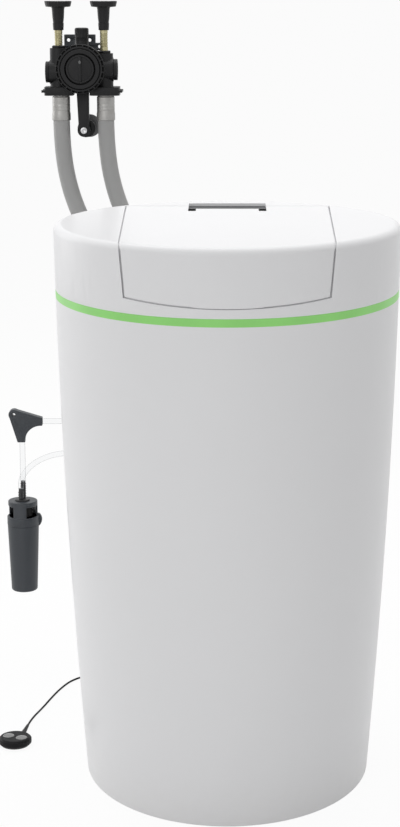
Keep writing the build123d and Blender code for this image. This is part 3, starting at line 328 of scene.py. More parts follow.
@dataclass(frozen=True)
class Lacquered(Finish):
    """The cabinet's white satin plastic: a faint orange peel, flow clouds and dust low down."""

    rough: float = 0.33
    foot: float = 0.10
    dirt: Colour = (0.62, 0.60, 0.56)
    peel: float = 210.0
    ripple: float = 24.0

    def surface(self, net: Net, spot: Wire) -> Wire:
        """Wires the shader.

        Args:
            net: The material's net.
            spot: Object coordinates.

        Returns:
            The shader.
        """
        tint = net.blend(net.noise(spot, 3.5), self.tone(0.985), self.tone(1.01))
        low = 1 - net.axis(spot, "Z").over(self.foot / 2, self.foot / 2)
        dust = low * net.noise(spot, 60.0, 4.0) * 0.16
        peel = net.noise(spot, self.peel, 2.0) + net.noise(spot, self.ripple, 1.0) * 2.0
        rough = self.rough + (net.noise(spot, 14.0, 4.0) - 0.5) * 0.10 + dust * 0.8
        return net.shader(
            Base_Color=net.blend(dust, tint, self.dirt), Roughness=rough,
            Normal=net.relief(peel, 0.00008, 0.30), Specular_IOR_Level=0.12, Coat_Weight=0.05,
            Coat_Roughness=0.10)


@dataclass(frozen=True)
class Glowing(Finish):
    """The light ring's tinted diffuser, with the lamps behind it just showing."""

    glow: float
    lamps: int = 44

    def surface(self, net: Net, spot: Wire) -> Wire:
        """Wires the shader.

        Args:
            net: The material's net.
            spot: Object coordinates.

        Returns:
            The shader.
        """
        lamps = (net.turn(spot) * (self.lamps / 2)).sine() * 0.5 + 0.5
        haze = net.noise(spot, 260.0, 2.0)
        tint = net.blend(lamps * 0.5 + haze * 0.5, self.tone(0.95), self.tone(1.05))
        return net.shader(
            Base_Color=tint, Roughness=0.34 + haze * 0.1, Emission_Color=tint, Emission_Strength=self.glow,
            Normal=net.relief(haze, 0.00004, 0.3), Specular_IOR_Level=0.35)


@dataclass(frozen=True)
class Metal(Finish):
    """Turned, brushed or plated metal with fine lines round or along an axis."""

    rough: float = 0.28
    tarnish: Colour = (0.3, 0.24, 0.12)
    worn: float = 0.25
    lines: Point = (20.0, 20.0, 2400.0)
    stains: float = 70.0

    def surface(self, net: Net, spot: Wire) -> Wire:
        """Wires the shader.

        Args:
            net: The material's net.
            spot: Object coordinates.

        Returns:
            The shader.
        """
        stroke = net.noise(net.place(self.lines), 1.0, 2.0)
        stain = net.noise(spot, self.stains, 5.0, 0.6).over(0.56, 0.16) * self.worn
        return net.shader(
            Base_Color=net.blend(stain, self.colour, self.tarnish), Metallic=1 - stain * 0.6,
            Roughness=self.rough + (stroke - 0.5) * 0.22 + stain * 0.3,
            Normal=net.relief(stroke, 0.00003, 0.5))


@dataclass(frozen=True)
class Braid(Finish):
    """A hose's cover: fine braid under a soft grey skin, laid along the hose's own map."""

    along: float
    around: float
    rough: float = 0.5
    depth: float = 0.00018

    def surface(self, net: Net, spot: Wire) -> Wire:
        """Wires the shader.

        Args:
            net: The material's net.
            spot: Object coordinates.

        Returns:
            The shader.
        """
        flat = net.node("ShaderNodeTexCoord", {}, {}, "UV")
        run, ring = net.axis(flat, "X") * self.along, net.axis(flat, "Y") * self.around
        weave = ((run + ring) * TURN).sine().maximum(((run - ring) * TURN).sine())
        strand = weave.over(0.35, 0.55)
        cloud = net.noise(spot, 40.0)
        tint = net.blend(strand, self.tone(0.88), self.tone(1.05))
        return net.shader(
            Base_Color=net.blend((cloud - 0.5) * 0.6 + 0.3, tint, self.tone(0.86)),
            Roughness=self.rough - strand * 0.12 + cloud * 0.1, Normal=net.relief(strand, self.depth, 0.5),
            Specular_IOR_Level=0.4)


@dataclass(frozen=True)
class ClearTube(Finish):
    """Clear soft tubing: see-through in the middle, its colour in thin lines at the sides."""

    clear: Colour = (0.993, 0.995, 0.997)

    def surface(self, net: Net, spot: Wire) -> Wire:
        """Wires the shader.

        Args:
            net: The material's net.
            spot: Object coordinates.

        Returns:
            The shader.
        """
        haze = net.noise(spot, 120.0)
        rim = net.node("ShaderNodeLayerWeight", {}, {"Blend": 0.5}, "Facing").over(0.64, 0.17)
        skin = net.shader(
            Base_Color=net.blend(haze * 0.3, self.colour, self.tone(1.2)), Roughness=0.12 + haze * 0.12,
            Normal=net.relief(haze, 0.00006, 0.3), Specular_IOR_Level=0.5)
        clear = net.node("ShaderNodeBsdfTransparent", {}, {0: self.clear})
        return net.node("ShaderNodeMixShader", {}, {0: 0.03 + rim * 0.85, 1: clear, 2: skin})


@dataclass(frozen=True)
class Smoked(Finish):
    """The display's dark glass, with the marks of a cloth."""

    def surface(self, net: Net, spot: Wire) -> Wire:
        """Wires the shader.

        Args:
            net: The material's net.
            spot: Object coordinates.

        Returns:
            The shader.
        """
        wipe = net.noise(net.place((1.0, 0.2, 1.0)), 24.0, 4.0)
        return net.shader(
            Base_Color=net.blend(net.noise(spot, 12.0, 2.0), self.colour, self.tone(1.8)),
            Roughness=0.30 + wipe * 0.10, Normal=net.relief(wipe, 0.00001, 0.2), Specular_IOR_Level=0.15)


@dataclass(frozen=True)
class Wound(Finish):
    """A resin bottle's shell: crossed glass windings under lacquer."""

    centre: Point = (-0.05, 0.11, 0.0)
    starts: float = 9.0
    climb: float = 260.0

    def surface(self, net: Net, spot: Wire) -> Wire:
        """Wires the shader.

        Args:
            net: The material's net.
            spot: Object coordinates. Not used; the windings take their own from the bottle's centre.

        Returns:
            The shader.
        """
        spot = net.place(centre=self.centre)
        around, up = net.turn(spot) * self.starts, net.axis(spot, "Z") * self.climb
        weave = ((around + up).sine() * (around - up).sine()).over(0.0, 0.5)
        fibre = net.noise(net.place((60.0, 60.0, 900.0)), 1.0, 2.0)
        tint = net.blend(weave, self.tone(0.8), self.tone(1.15))
        return net.shader(
            Base_Color=net.blend(fibre * 0.4, tint, self.tone(1.4)), Roughness=0.3 + fibre * 0.12,
            Normal=net.relief(weave + fibre, 0.0002, 0.4), Coat_Weight=0.4, Coat_Roughness=0.08)


# The bench


class Piece:
    """A piece on the bench: a primitive, shaped in edit mode, rounded, dressed and handed over."""

    nodes: dict[str, Thing] = {}
    palette: "Palette"
    merge = 0.000002
    node_merge = 0.000004
    flat_angle = 0.6
    edge_angle = 34.0
    stray_share = 1.1
    level_area = 0.0004
    level_normal = 0.999
    flute_share = 0.2

    def __init__(self, name: str, thing: Optional[Thing] = None) -> None:
        """Takes up an object, or else the one that an operator has just added."""
        self.thing = thing or bpy.context.view_layer.objects.active
        self.thing.name = name

    @staticmethod
    def clear() -> None:
        """Leaves edit mode and deselects everything."""
        active = bpy.context.view_layer.objects.active
        if active is not None and active.mode != "OBJECT":
            bpy.ops.object.mode_set(mode="OBJECT")
        bpy.ops.object.select_all(action="DESELECT")

    def pick(self) -> None:
        """Makes the piece the only selected and active one."""
        Piece.clear()
        self.thing.select_set(True)
        bpy.context.view_layer.objects.active = self.thing

    def edit(self) -> None:
        """Opens the piece in edit mode with all its faces selected."""
        self.pick()
        bpy.ops.object.mode_set(mode="EDIT")
        bpy.ops.mesh.select_mode(type="FACE")
        bpy.ops.mesh.select_all(action="SELECT")

    def done(self) -> None:
        """Turns all faces outwards and leaves edit mode."""
        self.edit()
        bpy.ops.mesh.normals_make_consistent(inside=False)
        bpy.ops.object.mode_set(mode="OBJECT")

    def set_down(self, base: Point = ORIGIN, way: Way = Way.UP) -> None:
        """Turns a piece modelled along +Z to its way and moves it to its base, in its mesh.

        Args:
            base: Where its own origin goes.
            way: Where its +Z goes.
        """
        turn = Vector(Way.UP.value).rotation_difference(Vector(way.value)).to_matrix().to_4x4()
        bpy.context.view_layer.update()
        self.thing.matrix_world = Matrix.Translation(metres(base)) @ turn @ self.thing.matrix_world
        self.pick()
        bpy.ops.object.transform_apply(location=True, rotation=True, scale=True)

    @classmethod
    def turned(cls, name: str, profile: Profile, base: Point, way: Way = Way.UP, steps: int = 64,
               ring: bool = False) -> "Piece":
        """A turned piece: a circle extruded and scaled from one profile point to the next.

        Args:
            name: The piece's name.
            profile: Radius and height of each step, from the base. It may turn back into a bore.
            base: Where height 0 goes.
            way: Where it points.
            steps: Corners of each circle.
            ring: Whether the profile closes on itself round an open bore.

        Returns:
            The closed piece.
        """
        cls.clear()
        points = [metres(point) for point in profile]
        radius, height = points[0]
        fill = "NOTHING" if ring else "NGON"
        bpy.ops.mesh.primitive_circle_add(vertices=steps, radius=radius, fill_type=fill, location=ORIGIN)
        piece = cls(name)
        bpy.ops.object.mode_set(mode="EDIT")
        bpy.ops.mesh.select_mode(type="VERT")
        bpy.ops.mesh.select_all(action="SELECT")
        bpy.ops.transform.translate(value=(0, 0, height))
        for next_radius, next_height in points[1:] + (points[:1] if ring else []):
            bpy.ops.mesh.extrude_region_move(TRANSFORM_OT_translate={"value": (0, 0, next_height - height)})
            if next_radius != radius:
                share = next_radius / radius
                bpy.ops.transform.resize(value=(share, share, 1.0), center_override=(0, 0, next_height))
            radius, height = next_radius, next_height
        bpy.ops.mesh.select_all(action="SELECT")
        bpy.ops.mesh.remove_doubles(threshold=cls.merge)
        piece.done()
        piece.set_down(base, way)
        return piece

    @classmethod
    def slab(cls, name: str, low: Point, high: Point, round_off: float, segments: int = 3) -> "Piece":
        """A block between two corners, its edges rounded.

        Args:
            name: The piece's name.
            low: Lowest corner.
            high: Highest corner.
            round_off: The rounding's radius.
            segments: Faces in each rounding.

        Returns:
            The piece.
        """
        cls.clear()
        sides = list(zip(metres(low), metres(high)))
        middle, size = tuple((a + b) / 2 for a, b in sides), tuple(b - a for a, b in sides)
        bpy.ops.mesh.primitive_cube_add(size=1.0, location=middle, scale=size)
        piece = cls(name)
        piece.set_down()
        piece.edit()
        bpy.ops.mesh.bevel(offset=round_off * MM, segments=segments, affect="EDGES")
        piece.done()
        return piece

    def again(self, move: Matrix) -> "Piece":
        """A moved copy of the piece, with its own mesh.

        Args:
            move: How the copy lies to the piece.

        Returns:
            The copy.
        """
        thing = self.thing.copy()
        thing.data = self.thing.data.copy()
        thing.data.transform(move)
        bpy.context.scene.collection.objects.link(thing)
        return Piece(self.thing.name, thing)

    def rounded(self, width: float, segments: int = 2) -> "Piece":
        """Rounds the sharp edges, and brings corners that this throws off back onto the piece.

        Args:
            width: The rounding's width.
            segments: Faces in each rounding.

        Returns:
            The piece.
        """
        data = self.thing.data
        skin = BVHTree.FromPolygons([corner.co.copy() for corner in data.vertices],
                                    [tuple(face.vertices) for face in data.polygons])
        self.pick()
        bevel = self.thing.modifiers.new("edges", "BEVEL")
        bevel.width = width * MM
        bevel.segments = segments
        bevel.limit_method = "ANGLE"
        bevel.angle_limit = math.radians(self.edge_angle)
        bevel.use_clamp_overlap = False
        bevel.miter_outer = "MITER_ARC"
        bpy.ops.object.modifier_apply(modifier=bevel.name)
        for corner in self.thing.data.vertices:
            near, _, _, gap = skin.find_nearest(corner.co)
            if gap > self.stray_share * width * MM:
                corner.co = near
        return self

    def smooth(self, angle: float = 32.0) -> "Piece":
        """Shades the piece smooth but for its sharp edges.

        Args:
            angle: Edges sharper than this many degrees stay sharp.

        Returns:
            The piece.
        """
        self.pick()
        bpy.ops.object.shade_smooth_by_angle(angle=math.radians(angle))
        return self

    def levelled(self) -> "Piece":
        """Shades the large level faces flat.

        Returns:
            The piece.
        """
        for face in self.thing.data.polygons:
            if face.area > self.level_area and abs(face.normal.z) > self.level_normal:
                face.use_smooth = False
        return self

    def fluted(self, axis: Pair, count: int, depth: float, low: float, high: float, inner: float) -> "Piece":
        """Presses finger flutes into an upright turned piece.

        Args:
            axis: X and Y of its axis.
            count: How many flutes.
            depth: Share of the radius that they go in.
            low: Where they begin in Z.
            high: Where they end in Z.
            inner: Only corners outside this radius move.

        Returns:
            The piece.
        """
        x, y, low, high, inner = metres((*axis, low, high, inner))
        pitch = TURN / count

        def inside(place: Vector) -> bool:
            """Whether a corner lies in a flute.

            Args:
                place: The corner.

            Returns:
                Whether it does.
            """
            across = Vector((place.x - x, place.y - y))
            turn = math.atan2(across.y, across.x) % pitch
            near = min(turn, pitch - turn) < pitch * self.flute_share
            return near and low < place.z < high and across.length > inner

        self.edit()
        bpy.ops.mesh.select_mode(type="VERT")
        bpy.ops.mesh.select_all(action="DESELECT")
        bpy.ops.object.mode_set(mode="OBJECT")
        for corner in self.thing.data.vertices:
            corner.select = inside(corner.co)
        bpy.ops.object.mode_set(mode="EDIT")
        bpy.ops.transform.resize(value=(1 - depth, 1 - depth, 1.0), center_override=(x, y, (low + high) / 2))
        self.done()
        return self

    @staticmethod
    def joined(name: str, *pieces: "Piece") -> "Piece":
        """Joins pieces into the first.

        Args:
            name: The whole's name.
            pieces: The pieces.

        Returns:
            The whole.
        """
        Piece.clear()
        for piece in pieces:
            piece.thing.select_set(True)
        bpy.context.view_layer.objects.active = pieces[0].thing
        bpy.ops.object.join()
        pieces[0].thing.name = name
        return pieces[0]

    def wear(self, finish: Material) -> None:
        """Gives the piece its finish."""
        self.thing.data.materials.clear()
        self.thing.data.materials.append(finish)

    def place(self, slot: str, *nodes: str, body: str = "softener", finish: str = "") -> "Piece":
        """Dresses the piece and hands it over to the frame.

        Args:
            slot: The record's material slot.
            nodes: The frame nodes that it stands for.
            body: The body it moves with.
            finish: Its finish, where it isn't the slot's own.

        Returns:
            The piece.
        """
        self.wear(self.palette[finish or slot])
        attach(self.thing, body)
        if nodes:
            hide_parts(*nodes)
        log.info("%s rides on %s%s", self.thing.name, body, " for " + ", ".join(nodes) if nodes else "")
        return self

    @classmethod
    def softened(cls, node: str, slot: str, width: float, segments: int = 2, body: str = "softener") -> "Piece":
        """Puts a copy of a frame node in its place, merged and with its sharp edges rounded off.

        Args:
            node: The frame node.
            slot: The record's material slot.
            width: The rounding's width.
            segments: Faces in each rounding.
            body: The body it moves with.

        Returns:
            The copy.
        """
        name = node + "_moulding"
        thing = bpy.data.objects.new(name, cls.nodes[node].data.copy())
        bpy.context.scene.collection.objects.link(thing)
        piece = cls(name, thing)
        piece.edit()
        bpy.ops.mesh.remove_doubles(threshold=cls.node_merge)
        bpy.ops.mesh.customdata_custom_splitnormals_clear()
        bpy.ops.mesh.dissolve_limited(angle_limit=math.radians(cls.flat_angle))
        bpy.ops.object.mode_set(mode="OBJECT")
        return piece.rounded(width, segments).smooth().levelled().place(slot, node, body=body)


# Studio


@dataclass
class Studio:
    """Camera, pale floor, lamps and surroundings, in metres."""

    eye: Point = (0.0, -2.829, 1.175)
    pitch: float = 12.67
    lens: float = 85.7
    sensor: float = 36.0
    shift: float = -0.0330
    sight: float = 1000.0
    floor_reach: float = 400.0
    floor_level: float = -0.0006
    floor_white: float = 0.93
    floor_grey: Colour = (0.86, 0.86, 0.86)
    room_light: float = 0.565
    boxes: Sequence[tuple[str, Point, Point, float, float]] = (
        ("overhead_box", (-0.2, 0.8, 3.5), (0.0, 0.0, 0.6), 2.6, 56.0),
        ("front_box", (-1.7, -3.3, 1.9), (0.0, 0.0, 0.5), 2.2, 19.0),
        ("flank_box", (-2.4, 1.6, 1.2), (0.0, 0.0, 0.5), 1.8, 15.0))

    def camera(self) -> None:
        """Sets the camera at the photograph's viewing angle."""
        data = bpy.data.cameras.new("studio_camera")
        data.lens = self.lens
        data.sensor_width = self.sensor
        data.shift_x = self.shift
        data.clip_end = self.sight
        camera = bpy.data.objects.new("studio_camera", data)
        camera.location = self.eye
        camera.rotation_euler = (math.radians(90 - self.pitch), 0.0, 0.0)
        bpy.context.scene.collection.objects.link(camera)
        bpy.context.scene.camera = camera
        bpy.context.scene.view_settings.view_transform = "Standard"

    def floor(self) -> None:
        """Lays the pale floor, which keeps the part's shadow."""
        Piece.clear()
        bpy.ops.mesh.primitive_plane_add(size=2 * self.floor_reach, location=(0, 0, self.floor_level))
        floor = Piece("studio_floor")
        net = Net(bpy.data.materials.new("studio_floor"))
        matt = net.node("ShaderNodeBsdfDiffuse", {}, {"Color": self.floor_grey})
        white = net.node("ShaderNodeEmission", {}, {"Color": WHITE, "Strength": 1.0})
        net.finish(net.node("ShaderNodeMixShader", {}, {0: net.seen() * self.floor_white, 1: matt, 2: white}))
        floor.wear(net.owner)

    def surroundings(self) -> None:
        """Lights the room evenly and shows it white."""
        world = bpy.data.worlds.new("studio")
        bpy.context.scene.world = world
        net = Net(world, "ShaderNodeOutputWorld")
        room, shown = (net.node("ShaderNodeBackground", {}, {"Color": WHITE, "Strength": level})
                       for level in (self.room_light, 1.0))
        net.finish(net.node("ShaderNodeMixShader", {}, {0: net.seen(), 1: room, 2: shown}))

    def lamps(self) -> None:
        """Hangs the soft boxes: above, in front at the left and behind the left flank."""
        for name, place, aim, size, power in self.boxes:
            data = bpy.data.lights.new(name, "AREA")
            data.shape = "SQUARE"
            data.size = size
            data.energy = power
            lamp = bpy.data.objects.new(name, data)
            lamp.location = place
            lamp.rotation_euler = (Vector(aim) - Vector(place)).to_track_quat("-Z", "Y").to_euler()
            bpy.context.scene.collection.objects.link(lamp)


# Palette


class Palette:
    """The finishes: one for each of the record's material slots, and those of small trims."""

    def __init__(self) -> None:
        """Builds every finish."""
        finishes = (
            Lacquered("shell_white", (0.80, 0.80, 0.81)),
            Glowing("ring_green", (0.235, 0.570, 0.155), glow=0.19),
            Moulded("display_black", (0.022, 0.022, 0.024), rough=0.38),
            Smoked("display_glass", (0.012, 0.013, 0.016)),
            Moulded("tank_plastic", (0.74, 0.75, 0.76), rough=0.5, grain=900.0, depth=0.00008),
            Moulded("brine_plastic", (0.62, 0.63, 0.65), rough=0.35),
            Moulded("float_plastic", (0.72, 0.30, 0.05), rough=0.4),
            Wound("bottle_wrap", (0.20, 0.24, 0.27)),
            Moulded("inner_plastic", (0.72, 0.72, 0.70), rough=0.36),
            Moulded("valve_plastic", (0.030, 0.030, 0.033), rough=0.48, clouding=0.15),
            Metal("motor_steel", (0.50, 0.50, 0.51), tarnish=(0.30, 0.29, 0.27), worn=0.2),
            Metal("pin_steel", (0.56, 0.56, 0.57), tarnish=(0.34, 0.33, 0.31), worn=0.15),
            Moulded("power_plastic", (0.026, 0.026, 0.027), rough=0.5),
            Moulded("cover_grey", (0.17, 0.175, 0.19), rough=0.46),
            Moulded("elbow_grey", (0.14, 0.14, 0.145), rough=0.36),
            Metal("ferrule_steel", (0.35, 0.345, 0.335), rough=0.42, tarnish=(0.28, 0.27, 0.25), worn=0.3),
            Braid("hose_grey", (0.372, 0.37, 0.367), along=150.0, around=24.0),
            Moulded("block_black", (0.0065, 0.0065, 0.0072), rough=0.46, clouding=0.16, shine=0.27),
            Metal("spindle_brass", (0.43, 0.40, 0.25), rough=0.34, tarnish=(0.24, 0.19, 0.08), worn=0.35),
            Moulded("mount_slate", (0.031, 0.036, 0.043), rough=0.44, clouding=0.12),
            Moulded("barb_black", (0.012, 0.012, 0.013), rough=0.42),
            ClearTube("hose_clear", (0.30, 0.31, 0.32)),
            Moulded("sensor_dark", (0.008, 0.008, 0.009), rough=0.48, grain=1100.0, depth=0.00008, shine=0.14),
            Metal("contact_steel", (0.25, 0.25, 0.25), rough=0.45, tarnish=(0.25, 0.24, 0.22), worn=0.2),
            Moulded("cord_black", (0.005, 0.005, 0.006), rough=0.55, grain=1500.0, shine=0.15),
            Moulded("inlay_pale", (0.40, 0.41, 0.41), rough=0.4),
            Moulded("mark_grey", (0.10, 0.10, 0.10), rough=0.4),
            # A pale finish for the display's glass: a painted reflection of the white room, not the glass's own
            # colour, which is dark.
            Moulded("glass_painted_reflection", (0.80, 0.80, 0.79), rough=0.3),
            # Near black for the drain head's inner sleeve: painted shade standing for the dark inside of the
            # head's windows.
            Moulded("painted_shade_black", (0.012, 0.012, 0.012), rough=0.7, shine=0.2))
        self.finishes = {finish.name: finish.material() for finish in finishes}

    def __getitem__(self, name: str) -> Material:
        """The finish of a name."""
        return self.finishes[name]

    def dress(self, record: dict, nodes: dict[str, Thing]) -> None:
        """Gives each frame node the finish of its slot.

        Args:
            record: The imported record.
            nodes: The frame's nodes.
        """
        for row in record["subparts"]:
            for slot in nodes[row["node"]].material_slots:
                slot.material = self[row["material_slot"]]


# Hoses and cords


@dataclass
class Line:
    """A free hose or cord on one smooth spline, which leaves the part at its first or last point."""

    name: str
    slot: str
    nodes: tuple[str, ...]
    route: Sequence[Point]
    diameter: float
    length: float
    sides: int
    stiffness: Stiffness = Stiffness.MEDIUM
    lay: Lay = Lay.LOOSE
    exit: int = 0

    def make(self) -> None:
        data = bpy.data.curves.new(self.name, "CURVE")
        diameter, length = metres((self.diameter, self.length))
        data.dimensions = "3D"
        data.bevel_depth = diameter / 2
        data.bevel_resolution = self.sides
        data.resolution_u = 6
        data.use_fill_caps = True
        spline = data.splines.new("NURBS")
        spline.points.add(len(self.route) - 1)
        for point, place in zip(spline.points, self.route):
            point.co = (*metres(place), 1.0)
        spline.order_u = 3
        spline.use_endpoint_u = True
        thing = bpy.data.objects.new(self.name, data)
        bpy.context.scene.collection.objects.link(thing)
        Piece(self.name, thing).place(self.slot, *self.nodes)
        metres(self.route[self.exit])


@dataclass
class SpareCoil:
    """The sensor cord's spare length, wound in and out again in two layers on the floor."""

    centre: Pair = (-180.0, 330.0)
    outer: float = 28.0
    pitch: float = 4.5
    level: float = 1.8
    step: float = 4.0
    turns_in: int = 4
    half_turns_out: int = 7
    points_each_half: int = 8

    def radius_at(self, half: float) -> float:
        """The coil's radius after a number of half turns.

        Args:
            half: How many half turns.

        Returns:
            The radius.
        """
        inwards = 2 * self.turns_in
        if half <= inwards:
            return self.outer - self.pitch * half / 2
        return self.outer - self.pitch * self.turns_in + self.pitch * max(0.0, half - inwards - 1) / 2

    def points(self) -> list[Point]:
        """Winds the coil from its floor end to its upper end.

        Returns:
            The spline's points.
        """
        inwards = 2 * self.turns_in
        count = (inwards + 1 + self.half_turns_out) * self.points_each_half
        swell = 1 / math.cos(math.pi / (2 * self.points_each_half))
        found = []
        for index in range(1, count):
            half = index / self.points_each_half
            angle = math.pi / 2 - math.pi * half
            climb = min(1.0, max(0.0, half - inwards))
            radius = self.radius_at(half) * swell
            found.append((self.centre[0] + radius * math.cos(angle), self.centre[1] + radius * math.sin(angle),
                          self.level + self.step * climb))
        return found


@dataclass
class Lines:
    """All hoses and cords, with the routes they lie on."""

    inlet: Sequence[Point] = (
        (-269.5, 400, 938), (-269, 400, 888), (-257, 398, 822), (-233, 389, 765), (-199, 368, 710),
        (-166, 345, 655), (-150, 330, 600), (-150, 330, 540))
    outlet: Sequence[Point] = (
        (-197.3, 400, 938), (-196.8, 400, 888), (-184.8, 398, 822), (-160.8, 389, 765), (-127, 368, 710),
        (-94, 345, 655), (-78, 330, 600), (-78, 330, 540))
    drain: Sequence[Point] = (
        (-114, 264, 436), (-114, 322, 436), (-134, 372, 438.5), (-184, 398, 437.5), (-250, 400, 436),
        (-290, 400, 436), (-345.7, 400, 436), (-345.7, 400, 386), (-346.5, 406, 354), (-346.5, 406, 331))
    overflow: Sequence[Point] = (
        (75, 264, 385), (75, 318, 385), (52, 366, 384), (0, 392, 383), (-60, 397, 382), (-125, 396, 381),
        (-190, 393, 381.5), (-245, 395, 383), (-285.2, 395, 381.4), (-311.8, 395, 372.8),
        (-330.5, 394.6, 361.1), (-343.2, 394.2, 347), (-349.3, 394, 334), (-349.3, 394, 320.5))
    floor_run: Sequence[Point] = (
        (-317, 118, 4.6), (-313.64, 146, 4.6), (-301, 201, 1.8), (-292, 241, 1.8), (-280, 287, 1.8),
        (-264, 328, 1.8), (-238, 353, 1.8), (-208, 358, 1.8), (-183.2, 358, 1.8))
    rise: Sequence[Point] = (
        (-176.8, 355.75, 5.8), (-154, 355.75, 5.8), (-122, 346, 15), (-96, 334, 44), (-79, 321, 88),
        (-69, 311, 138), (-63, 306, 190), (-60, 304, 245), (-59, 303, 300), (-60, 304, 346),
        (-60.5, 299, 378), (-60, 285, 398), (-60, 264, 398))
    coil: SpareCoil = field(default_factory=SpareCoil)

    def make(self) -> None:
        """Makes every line."""
        for side, route in (("inlet", self.inlet), ("outlet", self.outlet)):
            Line(side + "_hose_cover", "hose_grey", (side + "_hose",), route, 27.0, 432.0, 10,
                 Stiffness.STIFF).make()
        Line("drain_hose_tube", "hose_clear", ("drain_hose",), self.drain, 9.0, 418.0, 8).make()
        Line("overflow_hose_tube", "hose_clear", ("overflow_hose",), self.overflow, 9.0, 544.0, 8).make()
        Line("sensor_cord_line", "cord_black", ("sensor_cord", "sensor_cord_coil", "sensor_cord_riser"),
             [*self.floor_run, *self.coil.points(), *self.rise], 3.2, 1694.0, 4, lay=Lay.COILED,
             exit=-1).make()


# Connection block


@dataclass
class HandWheel:
    """A shut-off hand wheel: a slim sleeve under a flared rim with finger flutes and a pale inlay."""

    side: str
    axis: Pair
    low: float = 1082.0
    sleeve_low: float = 8.3
    sleeve_top: float = 10.3
    rim_low: float = 20.2
    rim_top: float = 22.2
    inlay: float = 17.5
    inlay_low: float = 45.2
    shaft: float = 6.45
    flutes: int = 24
    flute_depth: float = 0.016
    flutes_low: float = 37.8
    flutes_high: float = 45.5

    def make(self) -> None:
        """Turns the wheel, presses in its flutes, and turns the inlay with its two shallow rings."""
        body = self.side + "_handle"
        foot, neck, low, top, disc = self.sleeve_low, self.sleeve_top, self.rim_low, self.rim_top, self.inlay
        wheel = Piece.turned(self.side + "_hand_wheel", [
            (self.shaft, 16.0), (self.shaft, 0.0), (foot - 0.4, 0.0), (foot, 0.4), (foot + 0.5, 10.0),
            (foot + 0.5, 11.0), (foot, 11.6), (foot + 1.0, 20.0), (neck - 0.2, 34.0), (neck + 0.6, 36.2),
            (low - 1.0, 37.0), (low - 0.2, 37.4), (low, 38.2), (top - 0.4, 44.6), (top - 0.4, 45.2),
            (top - 1.0, 45.8), (top - 1.8, 46.0), (disc + 0.6, 46.0), (disc, 45.7), (disc, self.inlay_low)],
            (*self.axis, self.low), steps=96)
        wheel.fluted(self.axis, self.flutes, self.flute_depth, self.low + self.flutes_low,
                     self.low + self.flutes_high, low - 0.8)
        wheel.smooth().place("block_black", self.side + "_handle", body=body)
        Piece.turned(self.side + "_wheel_inlay", [
            (disc - 0.2, 0.0), (disc - 0.2, 0.5), (disc - 0.6, 0.7), (disc - 3.0, 0.7), (disc - 3.4, 0.5),
            (disc - 4.0, 0.5), (disc - 4.4, 0.7), (5.2, 0.7), (4.6, 0.4), (0.8, 0.4)],
            (*self.axis, self.low + self.inlay_low)).smooth().place("elbow_grey", body=body, finish="inlay_pale")


@dataclass
class Spindle:
    """A turned brass spindle with the lift thread below the hand wheel."""

    side: str
    axis: Pair
    low: float = 1012.0
    head: float = 5.5
    head_low: float = -12.9
    head_high: float = -10.0
    neck: float = 4.0
    radius: float = 6.4
    root: float = 5.7
    lead: float = 2.5
    thread_low: float = 43.5
    turns: int = 9
    top: float = 85.8
    thread_angle: float = 40.0

    def make(self) -> None:
        """Turns the spindle."""
        radius, root = self.radius, self.root
        profile = [(self.head, self.head_low), (self.head, self.head_high), (self.neck, self.head_high),
                   (self.neck, 0.0), (radius - 0.4, 0.0), (radius, 0.4), (radius, self.thread_low)]
        for turn in range(self.turns):
            start = self.thread_low + turn * self.lead
            profile += [(root, start + 0.5), (root, start + 1.0), (radius, start + 1.5), (radius, start + 2.4)]
        profile += [(radius, self.top - 0.8), (radius - 0.6, self.top)]
        spindle = Piece.turned(self.side + "_spindle_turning", profile, (*self.axis, self.low), steps=48)
        spindle.smooth(self.thread_angle).place(
            "spindle_brass", self.side + "_spindle", body=self.side + "_handle")


@dataclass
class BypassDial:
    """The bypass dial and its trims: a grey mark on its ridge and a raised rim round its face."""

    centre: Pair = (-235.5, 1021.8)
    front: float = 358.3
    ridge: float = 3.5
    mark_up: float = 11.2
    mark_stretch: float = 1.35
    radius: float = 22.6

    def make(self) -> None:
        """Makes the dial and its trims."""
        Piece.softened("bypass_dial", "block_black", 0.7, 3, "bypass")
        (x, z), radius = self.centre, self.radius
        mark = Piece.turned("bypass_mark", [(2.0, 0.0), (2.0, 0.3), (1.5, 0.6), (0.6, 0.7)],
                            (x, self.front - self.ridge, z + self.mark_up), Way.FRONT, steps=24)
        mark.pick()
        bpy.ops.transform.resize(value=(1.0, 1.0, self.mark_stretch),
                                 center_override=metres((x, self.front, z + self.mark_up)))
        mark.set_down()
        mark.smooth().place("elbow_grey", body="bypass", finish="mark_grey")
        Piece.turned("bypass_rim", [
            (radius - 3.4, 0.0), (radius - 3.4, 0.9), (radius - 2.8, 1.3), (radius - 1.0, 1.3),
            (radius - 0.4, 0.9), (radius - 0.4, 0.0)],
            (x, self.front, z), Way.FRONT, 96, ring=True).smooth().place("block_black", body="bypass")


